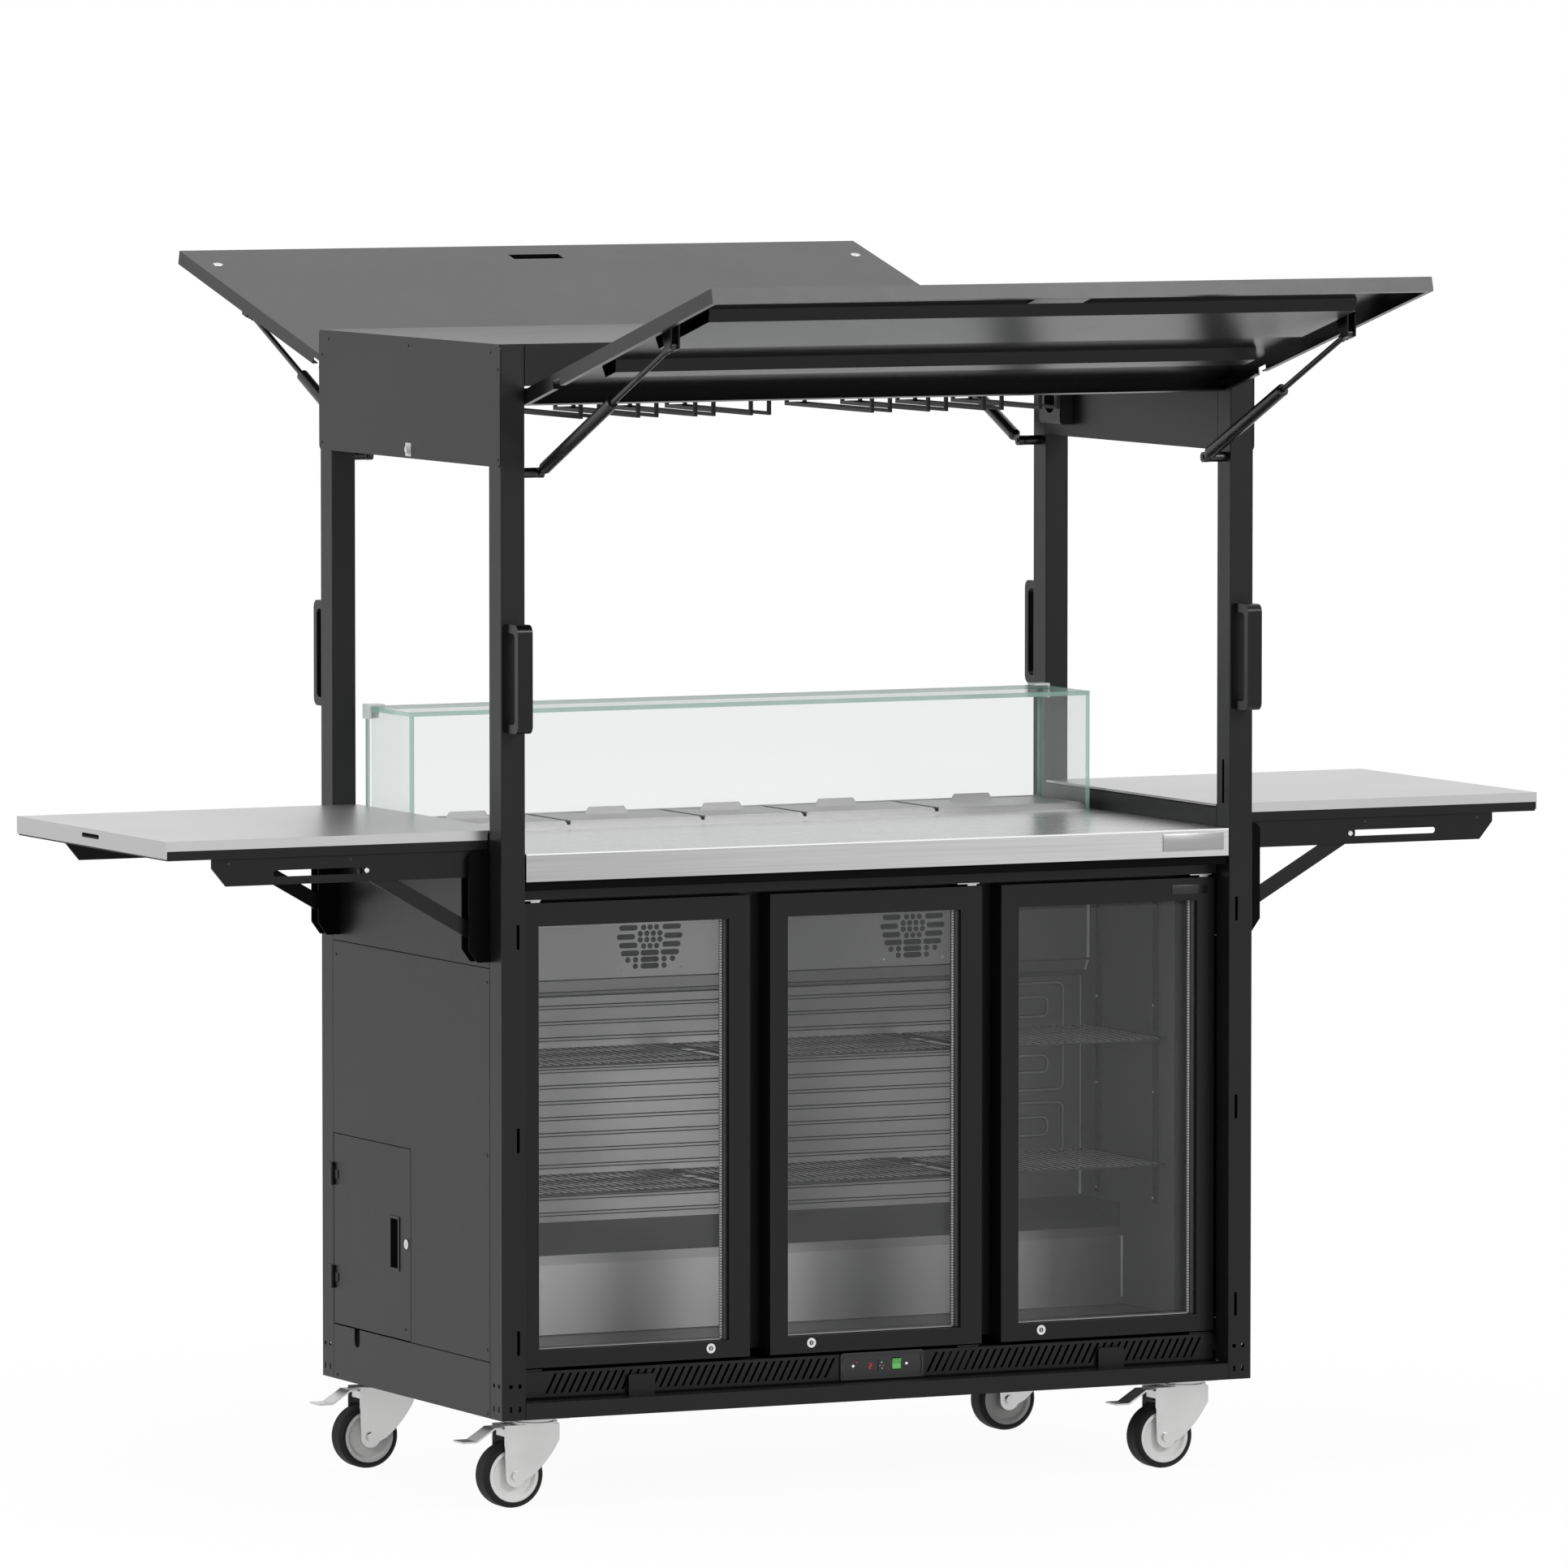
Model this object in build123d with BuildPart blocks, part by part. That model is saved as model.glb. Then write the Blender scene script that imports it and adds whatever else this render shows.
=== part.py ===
from build123d import *
import math
import os

os.makedirs("parts", exist_ok=True)

# All lengths are millimetres. Z is up, the front faces -Y, the origin is the
# middle of the footprint on the floor.

# Frame
frame_width = 1450.0
frame_depth = 760.0
castor_height = 158.0
post_height = 1845.0
post_x = 45.0
post_y = 50.0
post_wall = 2.0
rail_height = 28.6
rail_depth = 40.0
sheet = 2.0
seat = 0.3
turning_gap = 0.3
side_signs = (-1, 1)
corner_signs = ((-1, -1), (1, -1), (-1, 1), (1, 1))

half_width = frame_width / 2
half_depth = frame_depth / 2
inner_x = half_width - post_x
inner_y = half_depth - post_y
frame_bottom = castor_height
frame_top = frame_bottom + post_height
rail_top = frame_bottom + rail_height
post_top = frame_top - sheet
hole_radius = 4.0

# Worktop and side rails
worktop_top = frame_bottom + 973.0
worktop_lip = 48.0
worktop_half_x = inner_x - 2.0
side_rail_low = worktop_top - 41.0
side_rail_high = worktop_top + 33.0

# Headers, roof and stemware racks
header_low = frame_top - 72.0
header_depth = 40.0
side_header_low = frame_top - 210.0
roof_channel_low = frame_top - 78.0
roof_channel_width = 40.0
roof_channel_half_x = inner_x - sheet - seat
rack_y = half_depth - 210.0
rack_wire = 6.0
rack_low = frame_top - 140.0
cross_low = frame_top - 104.0
loop_width = 35.0
loop_centres = (-459.5, -350.0, -240.5, -133.5, 101.0, 210.5, 319.5, 429.5)

# Cladding and service door
panel_gap = 1.5
panel_flange = 12.0
kick_top = rail_top + 67.4
main_low = kick_top + panel_gap
main_high = side_rail_low - 158.0
panel_half_y = inner_y - seat
door_opening_front = -1.0
service_low = main_low + 1.0
service_high = service_low + 335.0
service_front = door_opening_front + 1.8
service_rear = inner_y - 2.5
hinge_line_x = -half_width - 3.2
hinge_line_y = inner_y - 1.5
service_hinge_lows = (service_low + 61.5, service_high - 91.5)
pull_front = service_front + 46.2
pull_rear = pull_front + 41.0
pull_low = service_low + 117.5
pull_high = pull_low + 96.0
service_lock_y = service_front + 15.2
service_lock_z = service_low + 168.5
notch_y = inner_y - 100.0

# Topping rail
well_half_x = worktop_half_x - 21.0
well_front = half_depth - 250.0
well_rear = half_depth - 69.0
well_bottom = worktop_top - 61.0
rim_front_top = worktop_top + 9.0
rim_rear_top = worktop_top + 14.0
pan_splits = (-0.5495, -0.1522, 0.1522, 0.5495)
pan_edges = (-well_half_x, *(share * well_half_x for share in pan_splits), well_half_x)
pan_bottom = well_bottom + 8.0
lid_top = rim_front_top + 3.3
lid_tab_shifts = (13.0, 4.5, 0.0, -4.5, -13.0)
tab_y = well_rear - 49.0
glass_half_x = well_half_x + 9.0
glass_thick = 8.0
glass_rear = well_rear + 9.0
glass_top = worktop_top + 212.0

# Cooler
cabinet_half_x = inner_x - 6.0
cabinet_front = -half_depth + 90.0
cabinet_rear = half_depth - 210.0
cabinet_low = rail_top + seat
cabinet_top = worktop_top - 64.0
trim_low = cabinet_top - 19.0
door_front = -half_depth + 46.0
door_rear = door_front + 40.0
door_low = rail_top + 54.4
door_high = trim_low - 6.0
cavity_half_x = cabinet_half_x - 34.0
cavity_rear = cabinet_rear - 60.0
cavity_low = door_low + 17.0
cavity_high = door_high - 30.0
mullion_centres = (-0.3153 * cabinet_half_x, 0.35015 * cabinet_half_x)
mullion_width = 78.0
mullion_depth = 40.0
hinge_inset = 12.0
door_edges = (
    (-cabinet_half_x, mullion_centres[0] - 19.5),
    (mullion_centres[0] + 19.5, mullion_centres[1] - 19.0),
    (mullion_centres[1] + 19.0, cabinet_half_x),
)
frame_margins = ((40.0, 40.0), (34.0, 41.0), (34.0, 34.0))
glass_edges = tuple(
    (left + near, right - far) for (left, right), (near, far) in zip(door_edges, frame_margins)
)
glass_low = door_low + 30.0
glass_high = door_high - 40.0
glass_fit = 0.3
door_hinge_sides = (-1, 1, 1)
gasket_inset = 13.0
gasket_width = 10.0
grip_low = door_low + 179.0
grip_high = door_high - 162.0
lock_places = (door_edges[0][1] - 75.7, door_edges[1][0] + 78.6, door_edges[2][0] + 78.0)
lock_height = door_low + 17.7
lock_radius = 8.5
grille_low = rail_top + 3.4
grille_high = door_low - 6.0
slot_pitch = 14.4
slot_width = 5.0
slot_low = grille_low + 6.0
slot_high = grille_high - 5.0
slot_lean = 18.0
bezel_left, bezel_right = -59.0, 102.0
bezel_low, bezel_high = grille_low - 2.0, grille_high + 2.0
bezel_front = door_front - 4.0
rocker_x, rocker_z = 50.0, (bezel_low + bezel_high) / 2 + 2.0
rocker_width, rocker_tall = 16.0, 20.0
tab_places = (-443.0, 467.5)
tab_top = grille_low + 32.0
shelf_heights = (cavity_low + 272.0, cavity_low + 494.0)
shelf_bays = (
    (-cavity_half_x + 9.0, mullion_centres[0] - 17.5),
    (mullion_centres[0] + 17.5, mullion_centres[1] - 18.0),
    (mullion_centres[1] + 18.0, cavity_half_x - 9.0),
)
shelf_front_y = cabinet_front + 55.0
shelf_rear_y = cavity_rear - 53.0
upright_low = cavity_low + 196.0
upright_high = cavity_high - 8.0
fan_front = cavity_rear - 37.0
fan_height = cavity_high - 81.5
fan_centres = (mullion_centres[0] - 17.5, mullion_centres[1] + 46.0)

# Pull handles
handle_low = worktop_top + 209.0
handle_high = handle_low + 186.0
handle_proud, handle_width = 50.0, 28.0

# Flaps and their gas struts, written for the front and mirrored to the rear
flap_half_x = inner_x - 2.0
flap_axis_y = -half_depth + 8.0
flap_axis_z = frame_top - 87.0
flap_reach = 768.0
flap_behind = 10.0
flap_skin = 8.0
flap_thick = 25.0
flap_open = 104.8
stiffener_half_x = flap_half_x - 66.0
stiffeners = ((182.0, 240.0), (400.0, 618.0))
strut_plane = flap_half_x - 37.0
stud_y = -half_depth + 22.0
stud_z = frame_top - 221.0
strut_along = 520.0
strut_below = 33.0
cylinder_length = 318.0
cylinder_radius = 11.0
rod_radius = 5.0

# Folding side shelves, written for the left and mirrored to the right
shelf_top = worktop_top + 39.0
shelf_end = half_width + 600.0
shelf_half_y = half_depth - 52.0
shelf_hinge_x = half_width + 22.0
shelf_hinge_z = shelf_top - 64.0
bracket_y = half_depth - 62.0
channel_proud = 40.0
channel_low = shelf_top - 226.0
channel_high = shelf_top - 34.0
channel_inside = 26.0
channel_wall = 3.0
bar_reach = half_width + 513.0
bar_low = shelf_top - 80.0
stay_low_x = half_width + 20.0
stay_low_z = shelf_top - 178.0
stay_high_x = half_width + 226.0
stay_high_z = shelf_top - 61.0
stay_width = 26.0
pivot_radius = 5.0

# Castors
castor_x = half_width - 95.0
castor_y = half_depth - 75.0
wheel_back = 48.0
wheel_radius = 56.5
tread_width = 44.0
hub_radius = 46.0
fork_wall = 3.0
axle_height = wheel_radius


def block(x0, x1, y0, y1, z0, z1, mode=Mode.ADD):
    """Adds or cuts an upright box given by two opposite corners."""
    with Locations(((x0 + x1) / 2, (y0 + y1) / 2, (z0 + z1) / 2)):
        Box(abs(x1 - x0), abs(y1 - y0), abs(z1 - z0), mode=mode)


def outline_xz(points, y_low, y_high, mode=Mode.ADD):
    """Adds or cuts an outline drawn in X and Z between two Y planes."""
    with BuildSketch(Plane.XZ.offset(-y_high)) as shape:
        Polygon(*points, align=None)
    extrude(shape.sketch, amount=y_high - y_low, mode=mode)


def outline_yz(points, x_low, x_high, mode=Mode.ADD):
    """Adds or cuts an outline drawn in Y and Z between two X planes."""
    with BuildSketch(Plane.YZ.offset(x_low)) as shape:
        Polygon(*points, align=None)
    extrude(shape.sketch, amount=x_high - x_low, mode=mode)


def round_x(y, z, radius, x0, x1, mode=Mode.ADD):
    """Adds or cuts a cylinder lying along X."""
    with Locations(((x0 + x1) / 2, y, z)):
        Cylinder(radius, abs(x1 - x0), rotation=(0, 90, 0), mode=mode)


def round_y(x, z, radius, y0, y1, mode=Mode.ADD):
    """Adds or cuts a cylinder lying along Y."""
    with Locations((x, (y0 + y1) / 2, z)):
        Cylinder(radius, abs(y1 - y0), rotation=(90, 0, 0), mode=mode)


def round_z(x, y, radius, z0, z1, mode=Mode.ADD):
    """Adds or cuts an upright cylinder."""
    with Locations((x, y, (z0 + z1) / 2)):
        Cylinder(radius, abs(z1 - z0), mode=mode)


def eight_sided(centre_a, centre_b, radius):
    """Corner points of a small eight-sided hole."""
    steps = [math.radians(22.5 + 45 * i) for i in range(8)]
    return [(centre_a + radius * math.cos(t), centre_b + radius * math.sin(t)) for t in steps]


# Upright posts: square tubes with slots, bolt holes and the flap hinge holes
with BuildPart() as corner_posts:
    with BuildSketch(Plane.XY.offset(frame_bottom)):
        with GridLocations(2 * inner_x + post_x, 2 * inner_y + post_y, 2, 2):
            RectangleRounded(post_x, post_y, 2.0)
            Rectangle(post_x - 2 * post_wall, post_y - 2 * post_wall, mode=Mode.SUBTRACT)
    extrude(amount=post_top - frame_bottom)
    for sx, sy in corner_signs:
        outer_y = sy * half_depth
        outer_x = sx * half_width
        for height in (frame_bottom + 133.0, frame_bottom + 482.0, frame_bottom + 831.0):
            slot_x = sx * (inner_x + 14.0)
            slot = (outer_y - 3, outer_y + 3, height - 21, height + 21)
            block(slot_x - 2.75, slot_x + 2.75, *slot, Mode.SUBTRACT)
        bolt_z = frame_bottom + 59.0
        foot_slot = (frame_bottom + 14.0, frame_bottom + 24.0, Mode.SUBTRACT)
        for inset in (16.6, 33.4):
            hole_x = outer_x - sx * inset
            bolt = eight_sided(hole_x, bolt_z, hole_radius)
            outline_xz(bolt, outer_y - 3, outer_y + 3, Mode.SUBTRACT)
            block(hole_x - 2.2, hole_x + 2.2, outer_y - 3, outer_y + 3, *foot_slot)
        for inset in (13.6, 33.6):
            hole_y = outer_y - sy * inset
            bolt = eight_sided(hole_y, bolt_z, hole_radius)
            outline_yz(bolt, outer_x - 3, outer_x + 3, Mode.SUBTRACT)
            block(outer_x - 3, outer_x + 3, hole_y - 2.2, hole_y + 2.2, *foot_slot)
        middle_y = sy * (inner_y + post_y / 2)
        long_slot = (middle_y - 4, middle_y + 4, worktop_top + 42.0, worktop_top + 119.0)
        block(sx * inner_x - 3, sx * inner_x + 3, *long_slot, Mode.SUBTRACT)
        pin_y = -sy * flap_axis_y
        round_x(pin_y, flap_axis_z, 4.0 + turning_gap, sx * inner_x - 3, sx * inner_x + 3, Mode.SUBTRACT)
corner_posts.part.label = "corner_posts"
export_step(corner_posts.part, "parts/corner_posts.step")

# Welded rails: base ring with cross members and gussets, and the upper side rails
with BuildPart() as frame_rails:
    for side in side_signs:
        outer = side * half_depth
        block(-inner_x, inner_x, outer, outer - side * rail_depth, frame_bottom, rail_top)
        outer = side * half_width
        block(outer, outer - side * post_x, -inner_y, inner_y, frame_bottom, rail_top)
        span = half_depth - rail_depth
        block(side * 220, side * 280, -span, span, frame_bottom, rail_top)
        block(outer, outer - side * post_x, -inner_y, inner_y, side_rail_low, side_rail_high)
        for hole_y in (-200.0, 0.0, 200.0):
            hole = eight_sided(hole_y, (side_rail_low + side_rail_high) / 2, 4.0)
            outline_yz(hole, side * inner_x - 6, side * inner_x + 6, Mode.SUBTRACT)
    for sx, sy in corner_signs:
        gusset = (sy * (inner_y - 90), sy * (half_depth - rail_depth))
        block(sx * (inner_x - 120), sx * inner_x, *gusset, frame_bottom, frame_bottom + 4)
    for tab_x in tab_places:
        with BuildSketch(Plane.XZ.offset(half_depth - rail_depth)):
            with Locations((tab_x, (rail_top + tab_top) / 2 - 1)):
                RectangleRounded(50.0, tab_top - rail_top + 2, 4.0)
        extrude(amount=3.0)
frame_rails.part.label = "frame_rails"
export_step(frame_rails.part, "parts/frame_rails.step")

# Roof sheet with two folded channels under it that carry the glass racks
with BuildPart() as roof_panel:
    block(-half_width, half_width, -half_depth, half_depth, post_top, frame_top)
    with BuildSketch(Plane.YZ.offset(-roof_channel_half_x)):
        channel_middle = (roof_channel_low + post_top) / 2
        with GridLocations(2 * rack_y, 1, 2, 1):
            with Locations((0, channel_middle)):
                Rectangle(roof_channel_width, post_top - roof_channel_low)
            with Locations((0, channel_middle + sheet)):
                inside_width = roof_channel_width - 2 * sheet
                Rectangle(inside_width, post_top - roof_channel_low, mode=Mode.SUBTRACT)
    extrude(amount=2 * roof_channel_half_x)
roof_panel.part.label = "roof_panel"
export_step(roof_panel.part, "parts/roof_panel.step")

# Front and rear header channels: a folded C with a lip behind
with BuildPart() as header_channels:
    with BuildSketch(Plane.YZ.offset(-inner_x + seat)):
        for side in side_signs:
            face = side * half_depth
            inside = face - side * header_depth
            with BuildLine():
                Polyline(
                    (inside, post_top),
                    (face, post_top),
                    (face, header_low),
                    (inside, header_low),
                    (inside, header_low + 15),
                    (inside + side * sheet, header_low + 15),
                    (inside + side * sheet, header_low + sheet),
                    (face - side * sheet, header_low + sheet),
                    (face - side * sheet, post_top - sheet),
                    (inside, post_top - sheet),
                    close=True,
                )
            make_face()
    extrude(amount=2 * (inner_x - seat))
header_channels.part.label = "header_channels"
export_step(header_channels.part, "parts/header_channels.step")

# Side headers: rounded cover plate outside, folded inner side, cam lock in the middle
with BuildPart() as side_headers:
    plate_middle = (side_header_low + frame_top) / 2
    for side in side_signs:
        outer = side * half_width
        with BuildSketch(Plane.YZ.offset(outer)):
            with Locations((0, plate_middle)):
                RectangleRounded(frame_depth, frame_top - side_header_low, 9.0)
        extrude(amount=side * sheet)
        inner = side * inner_x
        block(inner, inner + side * sheet, -inner_y, inner_y, side_header_low, post_top)
        block(inner, outer, -inner_y, inner_y, side_header_low, side_header_low + sheet)
        round_x(0, side_header_low + 15, 9.0, outer + side * 1.9, outer + side * 3.5)
        round_x(0, side_header_low + 15, 6.0, outer + side * 3.4, outer + side * 6.5)
side_headers.part.label = "side_headers"
export_step(side_headers.part, "parts/side_headers.step")

# Left cladding: kick panel with cable notch, main panel round the service door, top panel


def folded_panel(side, y0, y1, z0, z1):
    """Flat panel flush with the posts, with top and bottom edges folded inwards."""
    outer = side * half_width
    inner = outer - side * sheet
    deep = outer - side * panel_flange
    block(outer, inner, y0, y1, z0, z1)
    block(inner, deep, y0, y1, z0, z0 + sheet)
    block(inner, deep, y0, y1, z1 - sheet, z1)


with BuildPart() as left_panels:
    folded_panel(-1, -panel_half_y, panel_half_y, rail_top, kick_top)
    with BuildSketch(Plane.YZ.offset(-half_width - 1)):
        with Locations((notch_y, kick_top - 9.0)):
            SlotCenterToCenter(24.0, 22.0, rotation=90)
    extrude(amount=sheet + 2, mode=Mode.SUBTRACT)
    notch = (notch_y - 11, notch_y + 11, kick_top - 9, kick_top + 1)
    block(-half_width - 1, -half_width + 20, *notch, Mode.SUBTRACT)
    with BuildSketch(Plane.YZ.offset(-half_width)):
        with BuildLine():
            Polyline(
                (-panel_half_y, main_low),
                (door_opening_front, main_low),
                (door_opening_front, service_high + panel_gap),
                (panel_half_y, service_high + panel_gap),
                (panel_half_y, main_high),
                (-panel_half_y, main_high),
                close=True,
            )
        make_face()
    extrude(amount=sheet)
    fold_x = -half_width + panel_flange
    block(-half_width, fold_x, -panel_half_y, panel_half_y, main_high - sheet, main_high)
    block(-half_width, fold_x, -panel_half_y, door_opening_front, main_low, main_low + sheet)
    opening_low = main_low
    opening_high = service_high + panel_gap
    block(-half_width, fold_x, door_opening_front, panel_half_y, opening_high, opening_high + sheet)
    folded_panel(-1, -panel_half_y, panel_half_y, main_high + panel_gap, side_rail_low)
    for low in service_hinge_lows:
        block(-half_width, -half_width - 1.5, hinge_line_y + 3.5, hinge_line_y + 24, low, low + 40)
        for foot in (low, low + 28):
            round_z(hinge_line_x, hinge_line_y, 3.0, foot, foot + 12)
            block(hinge_line_x, -half_width - 1.4, hinge_line_y, hinge_line_y + 3, foot, foot + 12)
            block(-half_width - 1.5, -half_width, hinge_line_y + 2, hinge_line_y + 4, foot, foot + 12)
left_panels.part.label = "left_panels"
export_step(left_panels.part, "parts/left_panels.step")

# Right cladding and rear panel with a low field of air slots
rear_panel_top = worktop_top - worktop_lip - 1.0
with BuildPart() as fixed_panels:
    folded_panel(1, -panel_half_y, panel_half_y, rail_top, kick_top)
    folded_panel(1, -panel_half_y, panel_half_y, main_low, main_high)
    folded_panel(1, -panel_half_y, panel_half_y, main_high + panel_gap, side_rail_low)
    with BuildSketch(Plane.XZ.offset(-half_depth)):
        with Locations((0, (rail_top + rear_panel_top) / 2)):
            Rectangle(2 * (inner_x - seat), rear_panel_top - rail_top)
        with Locations((330.0, 330.0)):
            with GridLocations(110.0, 18.0, 3, 8):
                SlotOverall(92.0, 7.0, mode=Mode.SUBTRACT)
    extrude(amount=sheet)
    for low, high in ((rail_top, rail_top + sheet), (rear_panel_top - sheet, rear_panel_top)):
        block(-inner_x + seat, inner_x - seat, half_depth - sheet, half_depth - panel_flange, low, high)
fixed_panels.part.label = "fixed_panels"
export_step(fixed_panels.part, "parts/fixed_panels.step")

# Service door: folded tray with a recessed pull and its half of the hinges
with BuildPart() as service_door:
    face_x = -half_width
    block(face_x, face_x + 14, service_front, service_rear, service_low, service_high)
    inside = (service_front + sheet, service_rear - sheet, service_low + sheet, service_high - sheet)
    block(face_x + sheet, face_x + 15, *inside, Mode.SUBTRACT)
    block(face_x - 1.5, face_x + 13, pull_front, pull_rear, pull_low, pull_high)
    hollow = (pull_front + 5, pull_rear - 5, pull_low + 5, pull_high - 5)
    block(face_x - 2, face_x + 11.5, *hollow, Mode.SUBTRACT)
    round_x(service_lock_y, service_lock_z, lock_radius + seat, face_x - 2, face_x + 3, Mode.SUBTRACT)
    cam_notch = (service_front - 1, service_front + sheet + 1, service_lock_z - 15, service_lock_z + 27)
    block(face_x + sheet, face_x + 15, *cam_notch, Mode.SUBTRACT)
    for low in service_hinge_lows:
        block(face_x - 1.5, face_x, service_rear - 18, service_rear, low + 12.5, low + 27.5)
        round_z(hinge_line_x, hinge_line_y, 3.0, low + 12.5, low + 27.5)
        block(hinge_line_x, face_x - 1.4, service_rear - 1, hinge_line_y, low + 12.5, low + 27.5)
service_door.part.label = "service_door"
export_step(service_door.part, "parts/service_door.step")

# Key lock of the service door, with a cam behind the sheet
with BuildPart() as service_lock:
    round_x(service_lock_y, service_lock_z, lock_radius, -half_width - 2, -half_width + 10)
    cam = (service_lock_y - 8, service_lock_y + 8, service_lock_z - 6, service_lock_z + 22)
    block(-half_width + 10, -half_width + 12, *cam)
    keyway = (service_lock_y - 0.8, service_lock_y + 0.8, service_lock_z - 4, service_lock_z + 4)
    block(-half_width - 3, -half_width + 1, *keyway, Mode.SUBTRACT)
service_lock.part.label = "service_lock"
export_step(service_lock.part, "parts/service_lock.step")

# Cooler cabinet: insulated body, mullions, trim rail above the doors, hinge plates
with BuildPart() as cooler_cabinet:
    block(-cabinet_half_x, cabinet_half_x, cabinet_front, cabinet_rear, cabinet_low, cabinet_top)
    cavity = (cabinet_front - 1, cavity_rear, cavity_low, cavity_high)
    block(-cavity_half_x, cavity_half_x, *cavity, Mode.SUBTRACT)
    tray_front = door_front + sheet + seat
    block(-cabinet_half_x, cabinet_half_x, tray_front, cabinet_front, cabinet_low, cabinet_low + 2.4)
    room_split = mullion_centres[1]
    room_half = cabinet_half_x - 14
    for left, right in ((-room_half, room_split - 68), (room_split - 20, room_half)):
        room = (cabinet_front - 1, cabinet_rear - 20, cabinet_low + 3, cavity_low - 8)
        block(left, right, *room, Mode.SUBTRACT)
    for centre in mullion_centres:
        left, right = centre - mullion_width / 2, centre + mullion_width / 2
        block(left, right, cabinet_front, cabinet_front + mullion_depth, cavity_low, cavity_high)
    block(-inner_x + sheet, inner_x - sheet, door_front, cabinet_front, trim_low, cabinet_top)
    for (left, right), hinge_side in zip(door_edges, door_hinge_sides):
        pin_x = (left if hinge_side < 0 else right) - hinge_side * hinge_inset
        pin_y = door_front + hinge_inset
        near, far = pin_x + hinge_side * 8, pin_x - hinge_side * 34
        block(near, far, pin_y - 9, cabinet_front, trim_low - 3, trim_low)
        block(near, far, pin_y - 9, cabinet_front, door_low - 5.5, door_low - 2.5)
        round_z(pin_x, pin_y, 4.0 + turning_gap, trim_low - 4, trim_low + 1, Mode.SUBTRACT)
        round_z(pin_x, pin_y, 4.0 + turning_gap, door_low - 6, door_low - 2, Mode.SUBTRACT)
cooler_cabinet.part.label = "cooler_cabinet"
export_step(cooler_cabinet.part, "parts/cooler_cabinet.step")

# Cooler lining: tub behind the mullions, fan housing above, machine hump below
liner_front = cabinet_front + mullion_depth
liner_half_x = cavity_half_x - 2.0
with BuildPart() as cooler_liner:
    block(-cavity_half_x, cavity_half_x, liner_front, cavity_rear, cavity_low, cavity_high)
    inside = (liner_front - 1, cavity_rear - 2, cavity_low + 2, cavity_high - 2)
    block(-liner_half_x, liner_half_x, *inside, Mode.SUBTRACT)
    with BuildSketch(Plane.YZ.offset(-liner_half_x)):
        with BuildLine():
            Polyline(
                (cavity_rear - 1, cavity_high - 1),
                (fan_front, cavity_high - 1),
                (fan_front, cavity_high - 144.0),
                (fan_front + 13, cavity_high - 166.0),
                (cavity_rear - 1, cavity_high - 174.0),
                close=True,
            )
        make_face()
        with BuildLine():
            Polyline(
                (cavity_rear - 1, cavity_low + 1),
                (cavity_rear - 170, cavity_low + 1),
                (cavity_rear - 170, cavity_low + 126.0),
                (cavity_rear - 156, cavity_low + 142.0),
                (cavity_rear - 1, cavity_low + 182.0),
                close=True,
            )
        make_face()
    extrude(amount=2 * liner_half_x)
cooler_liner.part.label = "cooler_liner"
export_step(cooler_liner.part, "parts/cooler_liner.step")

# Two slotted fan guards on the fan housing
with BuildPart() as fan_covers:
    with BuildSketch(Plane.XZ.offset(-fan_front)):
        with Locations(*[(centre, fan_height) for centre in fan_centres]):
            RectangleRounded(134.0, 96.0, 8.0)
            with GridLocations(44.0, 13.0, 2, 6):
                SlotOverall(36.0, 7.5, mode=Mode.SUBTRACT)
    extrude(amount=2.5)
fan_covers.part.label = "fan_covers"
export_step(fan_covers.part, "parts/fan_covers.step")

# Shelf uprights with their clips
with BuildPart() as shelf_rails:
    for side in side_signs:
        for middle in (shelf_front_y + 50.0, shelf_rear_y - 21.0):
            wall = side * liner_half_x
            block(wall, wall - side * 4, middle - 7, middle + 7, upright_low, upright_high)
            for level in shelf_heights:
                block(wall - side * 4, wall - side * 18, middle - 8, middle + 8, level - 9, level - 5)
    for centre in mullion_centres:
        block(centre - 7, centre + 7, liner_front, liner_front + 4, upright_low, upright_high)
        for level in shelf_heights:
            block(centre - 28, centre + 32, liner_front + 4, liner_front + 24, level - 9, level - 5)
            block(centre - 28, centre + 32, shelf_rear_y - 12, cavity_rear - 2, level - 9, level - 5)
shelf_rails.part.label = "shelf_rails"
export_step(shelf_rails.part, "parts/shelf_rails.step")

# Six wire shelves: one barred plate for each bay and level
with BuildPart() as wire_shelves:
    for level in shelf_heights:
        with BuildSketch(Plane.XY.offset(level - 5)):
            for left, right in shelf_bays:
                width = right - left
                depth = shelf_rear_y - shelf_front_y
                with Locations(((left + right) / 2, (shelf_front_y + shelf_rear_y) / 2)):
                    Rectangle(width, depth)
                    with GridLocations((width - 8) / 9, 1, 9, 1):
                        Rectangle((width - 8) / 9 - 6, depth - 14, mode=Mode.SUBTRACT)
        extrude(amount=5.0)
wire_shelves.part.label = "wire_shelves"
export_step(wire_shelves.part, "parts/wire_shelves.step")

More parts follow.
